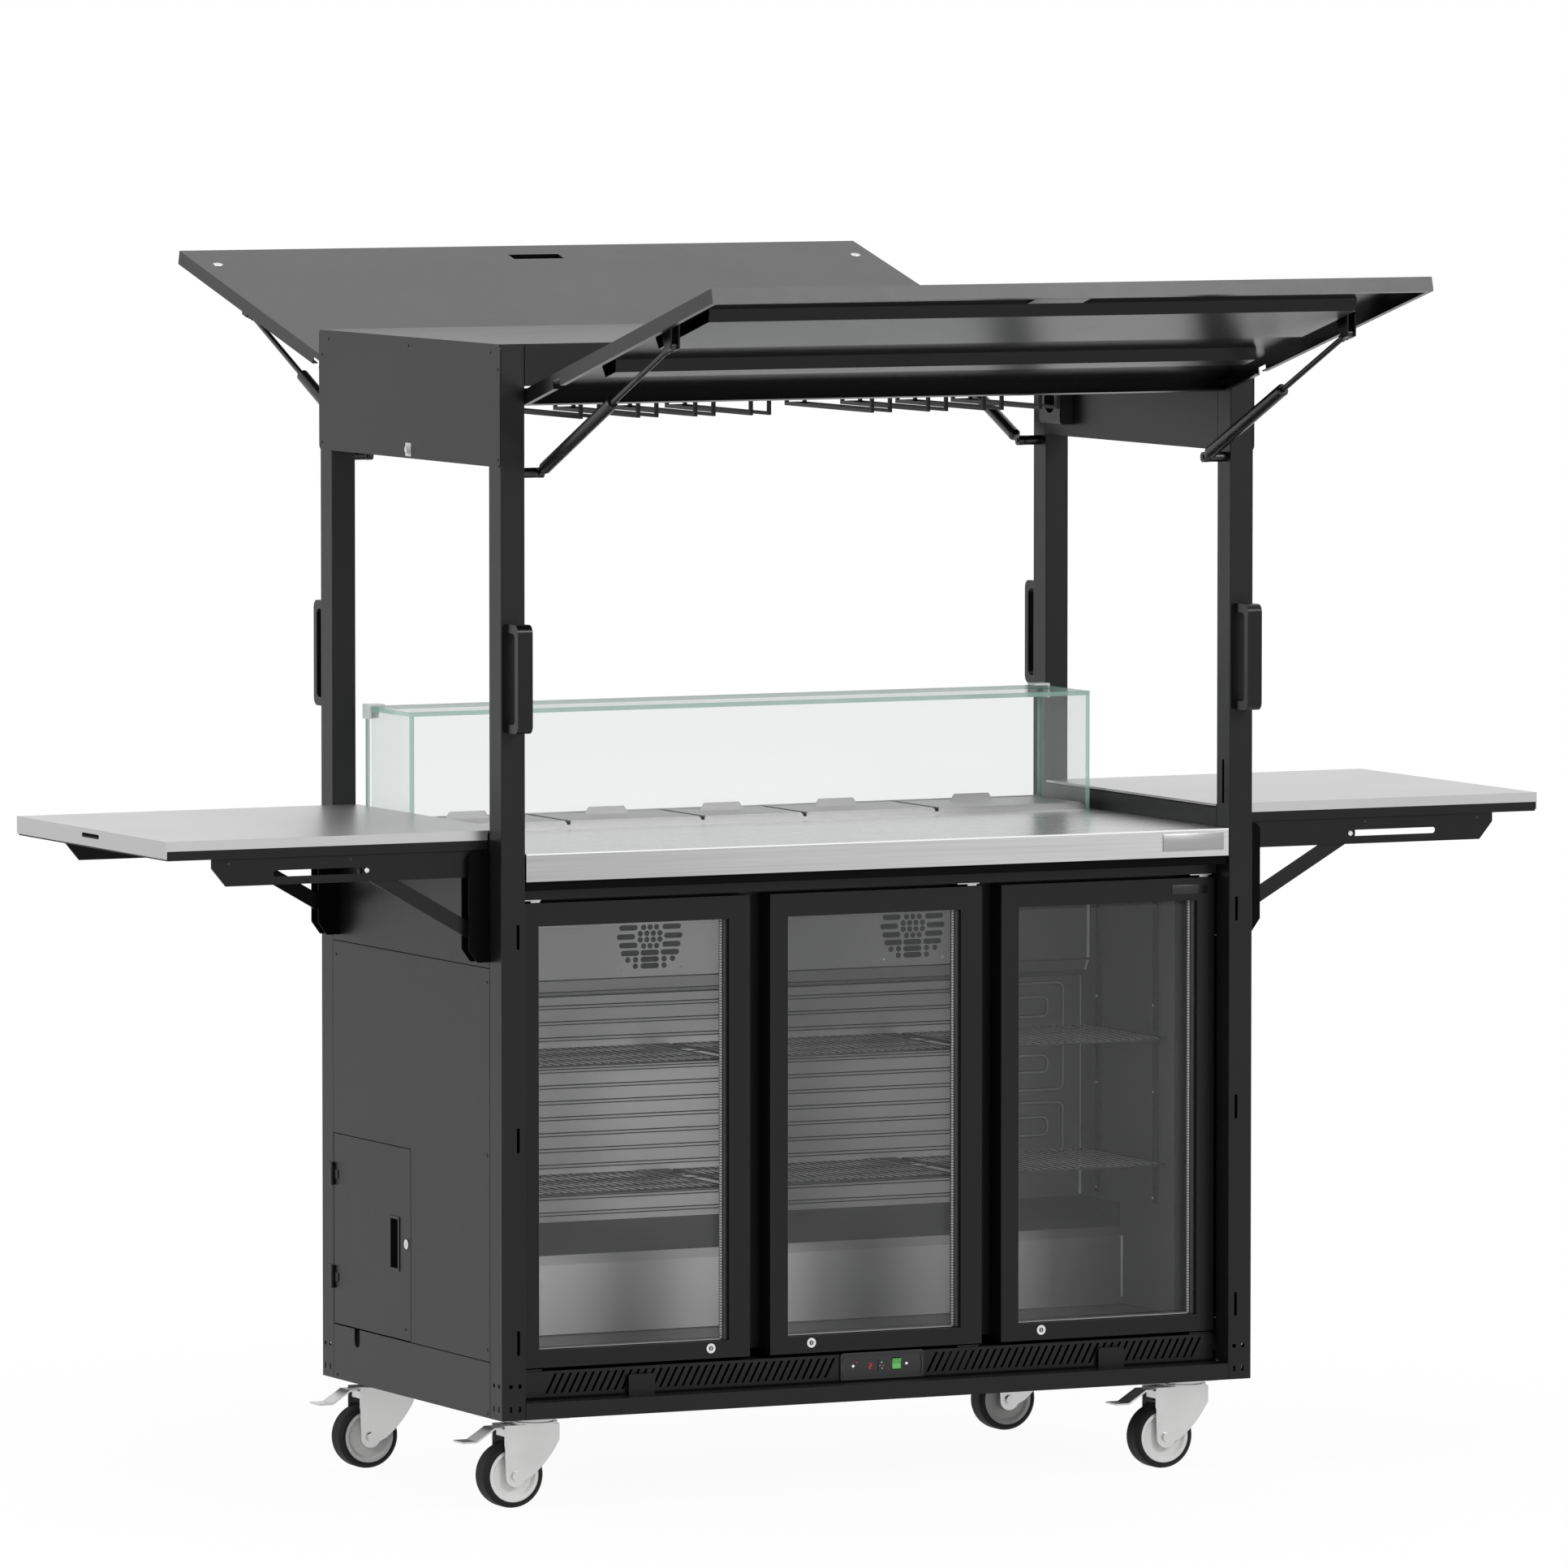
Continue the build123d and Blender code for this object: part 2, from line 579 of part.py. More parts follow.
# Vent panel below the doors: leaning slots left and right of the control panel
left_first = -cabinet_half_x + 51.0
right_first = bezel_right + 7.0
left_count = int((bezel_left - slot_lean - slot_width - left_first) / slot_pitch) + 1
right_count = int((cabinet_half_x - 41.0 - right_first) / slot_pitch) + 1
slot_groups = ((left_first, left_count), (right_first, right_count))
with BuildPart() as vent_grille:
    with BuildSketch(Plane.XZ.offset(-door_front - sheet)):
        with Locations((0, (grille_low + grille_high) / 2)):
            Rectangle(2 * cabinet_half_x, grille_high - grille_low)
        for first, count in slot_groups:
            for i in range(count):
                foot = first + i * slot_pitch
                Polygon(
                    (foot, slot_low),
                    (foot + slot_width, slot_low),
                    (foot + slot_width + slot_lean, slot_high),
                    (foot + slot_lean, slot_high),
                    align=None,
                    mode=Mode.SUBTRACT,
                )
        with Locations(((bezel_left + bezel_right) / 2, (slot_low + slot_high) / 2)):
            Rectangle(120.0, 30.0, mode=Mode.SUBTRACT)
    extrude(amount=sheet)
    behind = cabinet_front - seat
    for low in (grille_low, grille_high - sheet):
        block(-cabinet_half_x, cabinet_half_x, door_front + sheet, behind, low, low + sheet)
vent_grille.part.label = "vent_grille"
export_step(vent_grille.part, "parts/vent_grille.step")

# Control panel: rounded bezel with a raised rim, display window, key pads and rocker hole
with BuildPart() as control_panel:
    bezel_middle = ((bezel_left + bezel_right) / 2, (bezel_low + bezel_high) / 2)
    with BuildSketch(Plane.XZ.offset(-door_front)):
        with Locations(bezel_middle):
            RectangleRounded(bezel_right - bezel_left, bezel_high - bezel_low, 6.0)
    extrude(amount=4.0)
    with BuildSketch(Plane.XZ.offset(-bezel_front)):
        with Locations(bezel_middle):
            RectangleRounded(bezel_right - bezel_left - 6, bezel_high - bezel_low - 6, 4.0)
    extrude(amount=-1.5, mode=Mode.SUBTRACT)
    window = (rocker_z - 11.5, rocker_z + 9.0, Mode.SUBTRACT)
    block(-30.0, 15.0, bezel_front, door_front - 1.2, *window)
    block(-19.0, 62.0, door_front, door_front + 18, rocker_z - 13.5, rocker_z + 11.5)
    for pad_z in (rocker_z - 7.5, rocker_z + 4.5):
        round_y(24.0, pad_z, 3.0, bezel_front + 0.8, door_front)
    hole = (rocker_x - rocker_width / 2 - 0.5, rocker_x + rocker_width / 2 + 0.5)
    hole_low, hole_high = rocker_z - rocker_tall / 2 - 0.8, rocker_z + rocker_tall / 2 + 0.8
    block(*hole, bezel_front - 1, door_front + 15, hole_low, hole_high, Mode.SUBTRACT)
    pivot_y = door_front + 1.0
    pivot_end = rocker_width / 2 - 2
    round_x(pivot_y, rocker_z, 1.5, rocker_x - rocker_width / 2 - 1, rocker_x - pivot_end)
    round_x(pivot_y, rocker_z, 1.5, rocker_x + pivot_end, rocker_x + rocker_width / 2 + 1)
control_panel.part.label = "control_panel"
export_step(control_panel.part, "parts/control_panel.step")

# Rocker switch: a shallow vee of two faces on a cross pivot
with BuildPart() as rocker_switch:
    with BuildSketch(Plane.YZ.offset(rocker_x - rocker_width / 2)):
        with BuildLine():
            Polyline(
                (pivot_y + 4, rocker_z - 6),
                (bezel_front + 0.6, rocker_z - rocker_tall / 2 + 0.8),
                (bezel_front + 1.6, rocker_z),
                (bezel_front - 1.4, rocker_z + rocker_tall / 2 - 0.8),
                (pivot_y + 4, rocker_z + 6),
                close=True,
            )
        make_face()
    extrude(amount=rocker_width)
    rocker_end = rocker_width / 2
    bore = 1.5 + 0.1
    inner_end = pivot_end - 0.2
    round_x(pivot_y, rocker_z, bore, rocker_x - rocker_end, rocker_x - inner_end, Mode.SUBTRACT)
    round_x(pivot_y, rocker_z, bore, rocker_x + inner_end, rocker_x + rocker_end, Mode.SUBTRACT)
rocker_switch.part.label = "rocker_switch"
export_step(rocker_switch.part, "parts/rocker_switch.step")

# Stainless worktop: folded front and rear lips, well opening, two bearers underneath
well_clear = 1.0
with BuildPart() as worktop:
    with BuildSketch(Plane.YZ.offset(-worktop_half_x)):
        for side in side_signs:
            face = side * half_depth
            with BuildLine():
                Polyline(
                    (0, worktop_top),
                    (face, worktop_top),
                    (face, worktop_top - worktop_lip),
                    (face - side * 18, worktop_top - worktop_lip),
                    (face - side * 18, worktop_top - worktop_lip + sheet),
                    (face - side * sheet, worktop_top - worktop_lip + sheet),
                    (face - side * sheet, worktop_top - sheet),
                    (0, worktop_top - sheet),
                    close=True,
                )
            make_face()
    extrude(amount=2 * worktop_half_x)
    for side in side_signs:
        edge = side * worktop_half_x
        lip = (half_depth - 1, worktop_top - 30, worktop_top)
        block(edge, edge - side * sheet, -lip[0], lip[0], lip[1], lip[2])
    bearer = worktop_half_x - 38
    for front, rear in ((-half_depth + 80, -half_depth + 140), (well_front - 70, well_front - 20)):
        block(-bearer, bearer, front, rear, cabinet_top + seat, worktop_top - 1)
    inside = (well_front + 7, well_rear - 6, well_bottom, worktop_top + 1)
    block(-well_half_x + 7, well_half_x - 7, *inside, Mode.SUBTRACT)
worktop.part.label = "worktop"
export_step(worktop.part, "parts/worktop.step")

# Topping well: raised rim on the worktop and a shallow tub through it
with BuildPart() as topping_well:
    block(-well_half_x, well_half_x, well_front, well_rear, worktop_top, rim_front_top)
    block(-well_half_x, well_half_x, well_rear - 6, well_rear, worktop_top, rim_rear_top)
    tub = (well_front + 8, well_rear - 7)
    block(-well_half_x + 8, well_half_x - 8, *tub, well_bottom, worktop_top)
    inside = (tub[0] + 2, tub[1] - 2, well_bottom + 2, rim_rear_top + 1)
    block(-well_half_x + 10, well_half_x - 10, *inside, Mode.SUBTRACT)
    for edge in pan_edges[1:-1]:
        notch = (well_front - 1, well_front + 12, rim_front_top - 3.5, rim_rear_top + 1)
        block(edge - 3.5, edge + 3.5, *notch, Mode.SUBTRACT)
topping_well.part.label = "topping_well"
export_step(topping_well.part, "parts/topping_well.step")

# Five topping pans hanging by their flanges in the well
with BuildPart() as topping_pans:
    for left, right in zip(pan_edges, pan_edges[1:]):
        pan_left, pan_right = left + 4, right - 4
        block(pan_left, pan_right, well_front + 1.5, well_rear - 6.5, rim_front_top, rim_front_top + 1.5)
        body_left = max(left + 5, -well_half_x + 12)
        body_right = min(right - 5, well_half_x - 12)
        block(body_left, body_right, well_front + 11, well_rear - 10, pan_bottom, rim_front_top)
    for left, right in zip(pan_edges, pan_edges[1:]):
        hollow_left = max(left + 7, -well_half_x + 14)
        hollow_right = min(right - 7, well_half_x - 14)
        hollow = (well_front + 13, well_rear - 12, pan_bottom + 2, rim_rear_top + 1)
        block(hollow_left, hollow_right, *hollow, Mode.SUBTRACT)
topping_pans.part.label = "topping_pans"
export_step(topping_pans.part, "parts/topping_pans.step")

# Pan lids: flat sheets, each with a tapered upright tab to lift it by
with BuildPart() as pan_lids:
    for left, right in zip(pan_edges, pan_edges[1:]):
        block(left + 6, right - 6, well_front + 3, well_rear - 8, rim_front_top + 1.5, lid_top)
    for left, right, shift in zip(pan_edges, pan_edges[1:], lid_tab_shifts):
        centre = (left + right) / 2 + shift
        tip = lid_top + 12.7
        tab = ((centre - 43, lid_top), (centre + 43, lid_top), (centre + 34, tip), (centre - 34, tip))
        outline_xz(tab, tab_y, tab_y + 1.8)
pan_lids.part.label = "pan_lids"
export_step(pan_lids.part, "parts/pan_lids.step")

# Glass canopy over the pans, open at the front
with BuildPart() as glass_cover:
    block(-glass_half_x, glass_half_x, well_front, glass_rear, worktop_top + seat, glass_top)
    inside_x = glass_half_x - glass_thick
    inside = (well_front - 1, glass_rear - glass_thick, worktop_top - 11, glass_top - glass_thick)
    block(-inside_x, inside_x, *inside, Mode.SUBTRACT)
glass_cover.part.label = "glass_cover"
export_step(glass_cover.part, "parts/glass_cover.step")

# Clear corner caps on the canopy
with BuildPart() as glass_clips:
    for side in side_signs:
        corner = side * glass_half_x
        cap = (glass_rear - 26, glass_rear + 4, glass_top - 22, glass_top + 4)
        block(corner + side * 4, corner - side * 26, *cap)
        keep = (well_front, glass_rear + seat, worktop_top - 31, glass_top + seat)
        block(corner + side * seat, 0, *keep, Mode.SUBTRACT)
glass_clips.part.label = "glass_clips"
export_step(glass_clips.part, "parts/glass_clips.step")

# Pull handles on the front and rear faces of the posts
with BuildPart() as pull_handles:
    for sx, sy in corner_signs:
        centre = sx * (inner_x + post_x / 2)
        face = sy * half_depth
        out = face + sy * handle_proud
        middle_z = (handle_low + handle_high) / 2
        grip = handle_high - handle_low - 30
        with BuildSketch(Plane.YZ.offset(centre - handle_width / 2)):
            with Locations(((face + out) / 2, middle_z)):
                Rectangle(handle_proud, handle_high - handle_low)
            with Locations(((face + out) / 2 - sy * 7, middle_z)):
                RectangleRounded(handle_proud - 12, grip, 10.0, mode=Mode.SUBTRACT)
            with Locations((face + sy * 2, middle_z)):
                Rectangle(24.0, grip, mode=Mode.SUBTRACT)
        extrude(amount=handle_width)
    handle_out = half_depth + handle_proud
    long_edges = pull_handles.edges().filter_by(Axis.X)
    fillet(long_edges.filter_by(lambda e: abs(abs(e.center().Y) - handle_out) < 0.01), 14.0)
pull_handles.part.label = "pull_handles"
export_step(pull_handles.part, "parts/pull_handles.step")

# Stemware racks: eight wire loops hung from two cross bars under the roof channels
with BuildPart() as stemware_racks:
    with BuildSketch(Plane.XY.offset(rack_low)):
        for centre in loop_centres:
            with Locations((centre, 0)):
                Rectangle(loop_width + rack_wire, 2 * rack_y + rack_wire)
            with Locations((centre, -6)):
                Rectangle(loop_width - rack_wire, 2 * rack_y + 12 - rack_wire, mode=Mode.SUBTRACT)
    extrude(amount=rack_wire)
    with BuildSketch(Plane.XY.offset(rack_low)):
        for centre in loop_centres:
            with Locations((centre, 0)):
                with GridLocations(loop_width, 2 * rack_y, 2, 2):
                    Rectangle(rack_wire, rack_wire)
    extrude(amount=cross_low - rack_low + 1)
    for side in side_signs:
        block(-500, 470, side * rack_y - 8, side * rack_y + 8, cross_low, cross_low + 3)
        for hanger in (-490.0, -15.0, 460.0):
            hung = (side * rack_y - 1.5, side * rack_y + 1.5, cross_low, roof_channel_low)
            block(hanger - 8, hanger + 8, *hung)
stemware_racks.part.label = "stemware_racks"
export_step(stemware_racks.part, "parts/stemware_racks.step")

# Flap geometry shared by both flaps: along runs out from the hinge, across runs up to the skin
open_angle = math.radians(flap_open)


def flap_point(along, across, folded=False):
    """Y and Z of a point of the front flap, open as at rest or folded down."""
    if folded:
        return (flap_axis_y - across, flap_axis_z - along)
    tilt = open_angle - math.pi / 2
    out_y, out_z = -math.cos(tilt), math.sin(tilt)
    up_y, up_z = math.sin(tilt), math.cos(tilt)
    return (flap_axis_y + along * out_y + across * up_y, flap_axis_z + along * out_z + across * up_z)


def flap_outline(corners, x0, x1, side, mode=Mode.ADD):
    """Adds or cuts an outline given along and across the flap, on the front or rear one."""
    points = [(-side * y, z) for y, z in (flap_point(a, c) for a, c in corners)]
    outline_yz(points, x0, x1, mode)


def flap_box(a0, a1, c0, c1, x0, x1, side, mode=Mode.ADD):
    """Adds or cuts a rectangle along and across the flap."""
    flap_outline(((a0, c0), (a1, c0), (a1, c1), (a0, c1)), x0, x1, side, mode)


flap_low = flap_skin - flap_thick
upper_y, upper_z = flap_point(strut_along, -strut_below)
folded_y, folded_z = flap_point(strut_along, -strut_below, folded=True)
strut_open_length = math.hypot(upper_y - stud_y, upper_z - stud_z)
strut_closed_length = math.hypot(folded_y - stud_y, folded_z - stud_z)
strut_tilt = math.atan2(upper_z - stud_z, stud_y - upper_y)
closed_tilt = math.atan2(folded_z - stud_z, stud_y - folded_y)
strut_turn = math.degrees(strut_tilt - closed_tilt)
print("strut ratio", strut_turn / flap_open, "turn", strut_turn)
rod_stroke = strut_open_length - strut_closed_length
print("rod stroke", rod_stroke, "per radian", rod_stroke / open_angle / 1000)
print("rod axis", math.cos(strut_tilt), math.sin(strut_tilt))


def hat(a0, a1, x0, x1, side):
    """Folded stiffener across the underside: two slanted webs and a flat."""
    lower = flap_low + 3
    skin_under = flap_skin - sheet
    outside = ((a0, skin_under), (a0 + 9, lower), (a1 - 9, lower), (a1, skin_under))
    inside = ((a1 - 3, skin_under), (a1 - 10.5, lower + 2), (a0 + 10.5, lower + 2), (a0 + 3, skin_under))
    flap_outline(outside + inside, x0, x1, side)


def flap_tray(side):
    """One flap: skin, folded edges with returns, two stiffeners, latch cup, strut brackets."""
    x = flap_half_x
    flap_box(-flap_behind, flap_reach, flap_skin - sheet, flap_skin, -x, x, side)
    flap_box(flap_reach - sheet, flap_reach, flap_low, flap_skin, -x, x, side)
    flap_box(flap_reach - 12, flap_reach, flap_low, flap_low + sheet, -x, x, side)
    flap_box(-flap_behind, -flap_behind + sheet, flap_low, flap_skin, -x, x, side)
    flap_box(-flap_behind, 2, flap_low, flap_low + sheet, -x + 10, x - 10, side)
    for end in side_signs:
        edge = (end * x, end * (x - sheet)) if end < 0 else (end * (x - sheet), end * x)
        fold = (-x, -x + 10) if end < 0 else (x - 10, x)
        flap_box(-flap_behind, flap_reach, flap_low, flap_skin, *edge, side)
        flap_box(-flap_behind, flap_reach, flap_low, flap_low + sheet, *fold, side)
        stud_along = flap_axis_z - stud_z
        relief = (min(end * (x + 1), end * (x - 11)), max(end * (x + 1), end * (x - 11)))
        flap_box(stud_along - 14, stud_along + 14, flap_low - 1, -4.0, *relief, side, Mode.SUBTRACT)
        base = (strut_along - 24, strut_along + 24)
        outer = end * (strut_plane + 6)
        inner = end * (strut_plane - 6)
        for face in (outer, inner):
            away = 3.0 if (face > 0) == (abs(face) > strut_plane) else -3.0
            low_x, high_x = min(face, face + away), max(face, face + away)
            flap_outline(((base[0], flap_skin - 1), (base[0] + 14, -strut_below - 8),
                          (base[1] - 14, -strut_below - 8), (base[1], flap_skin - 1)), low_x, high_x, side)
        pin_y = -side * flap_axis_y
        round_x(pin_y, flap_axis_z, 4.0, end * (x - 12), end * (inner_x + 3))
        round_x(pin_y, flap_axis_z, 6.0, end * (x - 12), end * x)
    for near, far in stiffeners:
        hat(near, far, -stiffener_half_x, stiffener_half_x, side)
    cup = flap_reach - 70
    flap_box(cup - 16, cup + 16, -8.0, flap_skin - 1, -52.0, 52.0, side)
    flap_box(cup - 14, cup + 14, -6.0, flap_skin + 1, -50.0, 50.0, side, Mode.SUBTRACT)


with BuildPart() as front_flap:
    flap_tray(-1)
front_flap.part.label = "front_flap"
export_step(front_flap.part, "parts/front_flap.step")

with BuildPart() as rear_flap:
    flap_tray(1)
rear_flap.part.label = "rear_flap"
export_step(rear_flap.part, "parts/rear_flap.step")

# Strut studs: round standoffs on the post faces with a narrower pivot end
with BuildPart() as strut_studs:
    for sx, sy in corner_signs:
        pivot_y = -sy * stud_y
        round_x(pivot_y, stud_z, 8.7, sx * inner_x, sx * (strut_plane + 8))
        round_x(pivot_y, stud_z, 4.0, sx * (strut_plane + 9), sx * (strut_plane - 7))
strut_studs.part.label = "strut_studs"
export_step(strut_studs.part, "parts/strut_studs.step")


def strut_frame(end, side):
    """Plane at a stud with X along the open strut, seen from the strut's plane."""
    return Plane(
        origin=(end * strut_plane, -side * stud_y, stud_z),
        x_dir=(0, side * math.cos(strut_tilt), math.sin(strut_tilt)),
        z_dir=(1, 0, 0),
    )


def strut_cylinders(side):
    """Both cylinders of one flap: eye, neck and hollow tube, closed but for the rod hole."""
    for end in side_signs:
        along = strut_frame(end, side)
        with BuildSketch(along.offset(-5.0)) as eye:
            Circle(9.0)
            with Locations((12.0, 0)):
                Rectangle(16.0, 9.0)
            Circle(4.0 + turning_gap, mode=Mode.SUBTRACT)
        extrude(eye.sketch, amount=10.0)
        with BuildSketch(along) as section:
            with BuildLine():
                Polyline(
                    (16.0, 0),
                    (16.0, 6.0),
                    (22.0, cylinder_radius),
                    (cylinder_length - 3, cylinder_radius),
                    (cylinder_length, cylinder_radius - 3),
                    (cylinder_length, rod_radius + turning_gap),
                    (cylinder_length - 10, rod_radius + turning_gap),
                    (cylinder_length - 10, cylinder_radius - 2),
                    (40.0, cylinder_radius - 2),
                    (40.0, 0),
                    close=True,
                )
            make_face()
        revolve(section.sketch, axis=Axis(along.origin, along.x_dir))


def strut_rods(side):
    """Both rods of one flap, with the flat tongue that the flap bracket holds."""
    for end in side_signs:
        along = strut_frame(end, side)
        inner_end = cylinder_length - 30.0
        outer_end = strut_open_length - 14
        with BuildSketch(along) as section:
            with BuildLine():
                Polyline(
                    (inner_end, 0),
                    (inner_end, 7.5),
                    (inner_end + 8, 7.5),
                    (inner_end + 8, rod_radius),
                    (outer_end - 10, rod_radius),
                    (outer_end - 10, 7.0),
                    (outer_end, 7.0),
                    (outer_end, 0),
                    close=True,
                )
            make_face()
        revolve(section.sketch, axis=Axis(along.origin, along.x_dir))
        with BuildSketch(along.offset(-5.7)) as tongue:
            with Locations((strut_open_length, 0)):
                Circle(8.0)
            with Locations((strut_open_length - 8, 0)):
                Rectangle(16.0, 14.0)
        extrude(tongue.sketch, amount=11.4)


with BuildPart() as front_cylinders:
    strut_cylinders(-1)
front_cylinders.part.label = "front_cylinders"
export_step(front_cylinders.part, "parts/front_cylinders.step")

with BuildPart() as front_rods:
    strut_rods(-1)
front_rods.part.label = "front_rods"
export_step(front_rods.part, "parts/front_rods.step")

with BuildPart() as rear_cylinders:
    strut_cylinders(1)
rear_cylinders.part.label = "rear_cylinders"
export_step(rear_cylinders.part, "parts/rear_cylinders.step")

with BuildPart() as rear_rods:
    strut_rods(1)
rear_rods.part.label = "rear_rods"
export_step(rear_rods.part, "parts/rear_rods.step")

# Socket box inside the right side header
with BuildPart() as socket_box:
    socket_y = inner_y - 64.0
    socket_low = side_header_low + 22.0
    block(inner_x - 26, inner_x, socket_y - 40, socket_y + 40, socket_low, socket_low + 82)
    fillet(socket_box.edges().filter_by(Axis.Y).group_by(Axis.X)[0], 8.0)
    round_x(socket_y, socket_low + 41, 21.0, inner_x - 30, inner_x - 11, Mode.SUBTRACT)
socket_box.part.label = "socket_box"
export_step(socket_box.part, "parts/socket_box.step")

# Wall brackets of the side shelves: open channels with rounded ends and pivot pins
channel_half = channel_inside / 2 + channel_wall
keep_radius = 30.3
with BuildPart() as shelf_brackets:
    for sx in side_signs:
        wall_x = sx * half_width
        proud_x = sx * (half_width + channel_proud)
        hinge_x = sx * shelf_hinge_x
        with BuildSketch(Plane.XZ, mode=Mode.PRIVATE) as profile:
            with BuildLine():
                Polyline(
                    (wall_x, channel_low),
                    (proud_x - sx * 16, channel_low),
                    (proud_x, channel_low + 22),
                    (proud_x, channel_high - 11),
                    (proud_x - sx * 3.4, channel_high - 5.4),
                    (proud_x - sx * 9, channel_high - 1.6),
                    (proud_x - sx * 16, channel_high),
                    (wall_x, channel_high),
                    close=True,
                )
            make_face()
        for sy in side_signs:
            middle = sy * bracket_y
            for flange in (middle - channel_half, middle + channel_half - channel_wall):
                with BuildSketch(Plane.XZ.offset(-flange)):
                    add(profile.sketch_local)
                extrude(amount=-channel_wall)
            half = channel_half - channel_wall
            web = (middle - half, middle + half, channel_low, channel_high)
            block(wall_x, wall_x + sx * channel_wall, *web)
            round_y(hinge_x, shelf_hinge_z, pivot_radius, middle - half, middle + half)
            inner_flange = middle - sy * half
            round_y(sx * stay_low_x, stay_low_z, pivot_radius, inner_flange, middle + sy * -0.2)
shelf_brackets.part.label = "shelf_brackets"
export_step(shelf_brackets.part, "parts/shelf_brackets.step")


def side_shelf(sx):
    """One folding shelf: steel top with lips, and the ladder frame with its two bars below it."""
    end = sx * shelf_end
    wall = sx * (half_width + 2)
    block(end, sx * inner_x, -shelf_half_y, shelf_half_y, shelf_top - 4, shelf_top)
    for sy in side_signs:
        edge = sy * shelf_half_y
        block(end, wall, edge, edge - sy * sheet, shelf_top - 17, shelf_top - 3)
    block(end, end - sx * sheet, -shelf_half_y, shelf_half_y, shelf_top - 30, shelf_top - 3)
    with BuildSketch(Plane.YZ.offset(end - 10)) as slot:
        with Locations((0, shelf_top - 12)):
            SlotOverall(75.0, 8.0)
    extrude(slot.sketch, amount=20.0, mode=Mode.SUBTRACT)


def shelf_ladder(sx):
    """Black ladder frame: ring, two cross bars, and the two slotted bars that carry it."""
    top = shelf_top - 17
    low = top - 16
    outer = sx * (shelf_end - 3)
    inner = sx * (half_width + 2)
    middle_x = (outer + inner) / 2
    with BuildSketch(Plane.XY.offset(low)) as ladder:
        with Locations((middle_x, 0)):
            Rectangle(abs(outer - inner), 2 * shelf_half_y - 2)
            with GridLocations(abs(outer - inner) / 3, 1, 3, 1):
                Rectangle(abs(outer - inner) / 3 - 32, 2 * shelf_half_y - 62, mode=Mode.SUBTRACT)
    extrude(ladder.sketch, amount=16.0)
    for sy in side_signs:
        side_edge = sy * (shelf_half_y - 20)
        block(outer, inner, side_edge, side_edge - sy * 10, top, shelf_top - 4)
        far = sy * (bracket_y + 4)
        near = sy * bracket_y
        y_low, y_high = min(far, near), max(far, near)
        with BuildSketch(Plane.XZ.offset(-y_high)) as bar:
            with BuildLine():
                Polyline(
                    (sx * bar_reach, low + 1),
                    (sx * bar_reach, low - 16),
                    (sx * (bar_reach - 26), bar_low),
                    (sx * shelf_hinge_x, bar_low),
                    (sx * (shelf_hinge_x - 11.3), bar_low + 4.7),
                    (sx * (shelf_hinge_x - 15.5), bar_low + 16),
                    (sx * (shelf_hinge_x - 11.3), bar_low + 27.3),
                    (sx * (shelf_hinge_x - 6), low + 1),
                    close=True,
                )
            make_face()
            with Locations((sx * shelf_hinge_x, shelf_hinge_z)):
                Circle(pivot_radius + turning_gap, mode=Mode.SUBTRACT)
            with Locations((sx * (half_width + 316.0), stay_high_z)):
                SlotOverall(166.0, 11.0, mode=Mode.SUBTRACT)
        extrude(bar.sketch, amount=y_high - y_low)


with BuildPart() as left_shelf:
    side_shelf(-1)
    shelf_ladder(-1)
left_shelf.part.label = "left_shelf"
export_step(left_shelf.part, "parts/left_shelf.step")

with BuildPart() as right_shelf:
    side_shelf(1)
    shelf_ladder(1)
right_shelf.part.label = "right_shelf"
export_step(right_shelf.part, "parts/right_shelf.step")

stay_run = stay_high_x - stay_low_x
stay_rise = stay_high_z - stay_low_z
stay_length = math.hypot(stay_run, stay_rise)
fold_drop = math.sqrt(stay_length**2 - (stay_low_x - shelf_hinge_x - (stay_high_z - shelf_hinge_z))**2)
rest_angle = math.degrees(math.atan2(stay_rise, stay_run))
fold_angle = math.degrees(math.atan2(fold_drop, shelf_hinge_x + stay_high_z - shelf_hinge_z - stay_low_x))
print("stay ratio", (rest_angle + fold_angle) / 90, "length", stay_length)


def stay_arms(sx):
    """The two stays of one shelf: flat links with rounded ends, on the bracket pins."""
    slope = math.atan2(stay_rise, stay_run)
    for sy in side_signs:
        far, near = sy * (bracket_y - seat), sy * (bracket_y - seat - 4)
        y_low, y_high = min(far, near), max(far, near)
        with BuildSketch(Plane.XZ.offset(-y_high)) as link:
            middle = (sx * (stay_low_x + stay_high_x) / 2, (stay_low_z + stay_high_z) / 2)
            with Locations(Location((*middle, 0), (0, 0, math.degrees(slope) * sx))):
                SlotCenterToCenter(stay_length, stay_width)
            with Locations((sx * stay_low_x, stay_low_z)):
                Circle(pivot_radius + turning_gap, mode=Mode.SUBTRACT)
        extrude(link.sketch, amount=y_high - y_low)


with BuildPart() as left_stay_arms:
    stay_arms(-1)
left_stay_arms.part.label = "left_stay_arms"
export_step(left_stay_arms.part, "parts/left_stay_arms.step")

with BuildPart() as right_stay_arms:
    stay_arms(1)
right_stay_arms.part.label = "right_stay_arms"
export_step(right_stay_arms.part, "parts/right_stay_arms.step")

# Doors: mitred frame with a gasket behind, hinge pins, and a grip edge on the free side


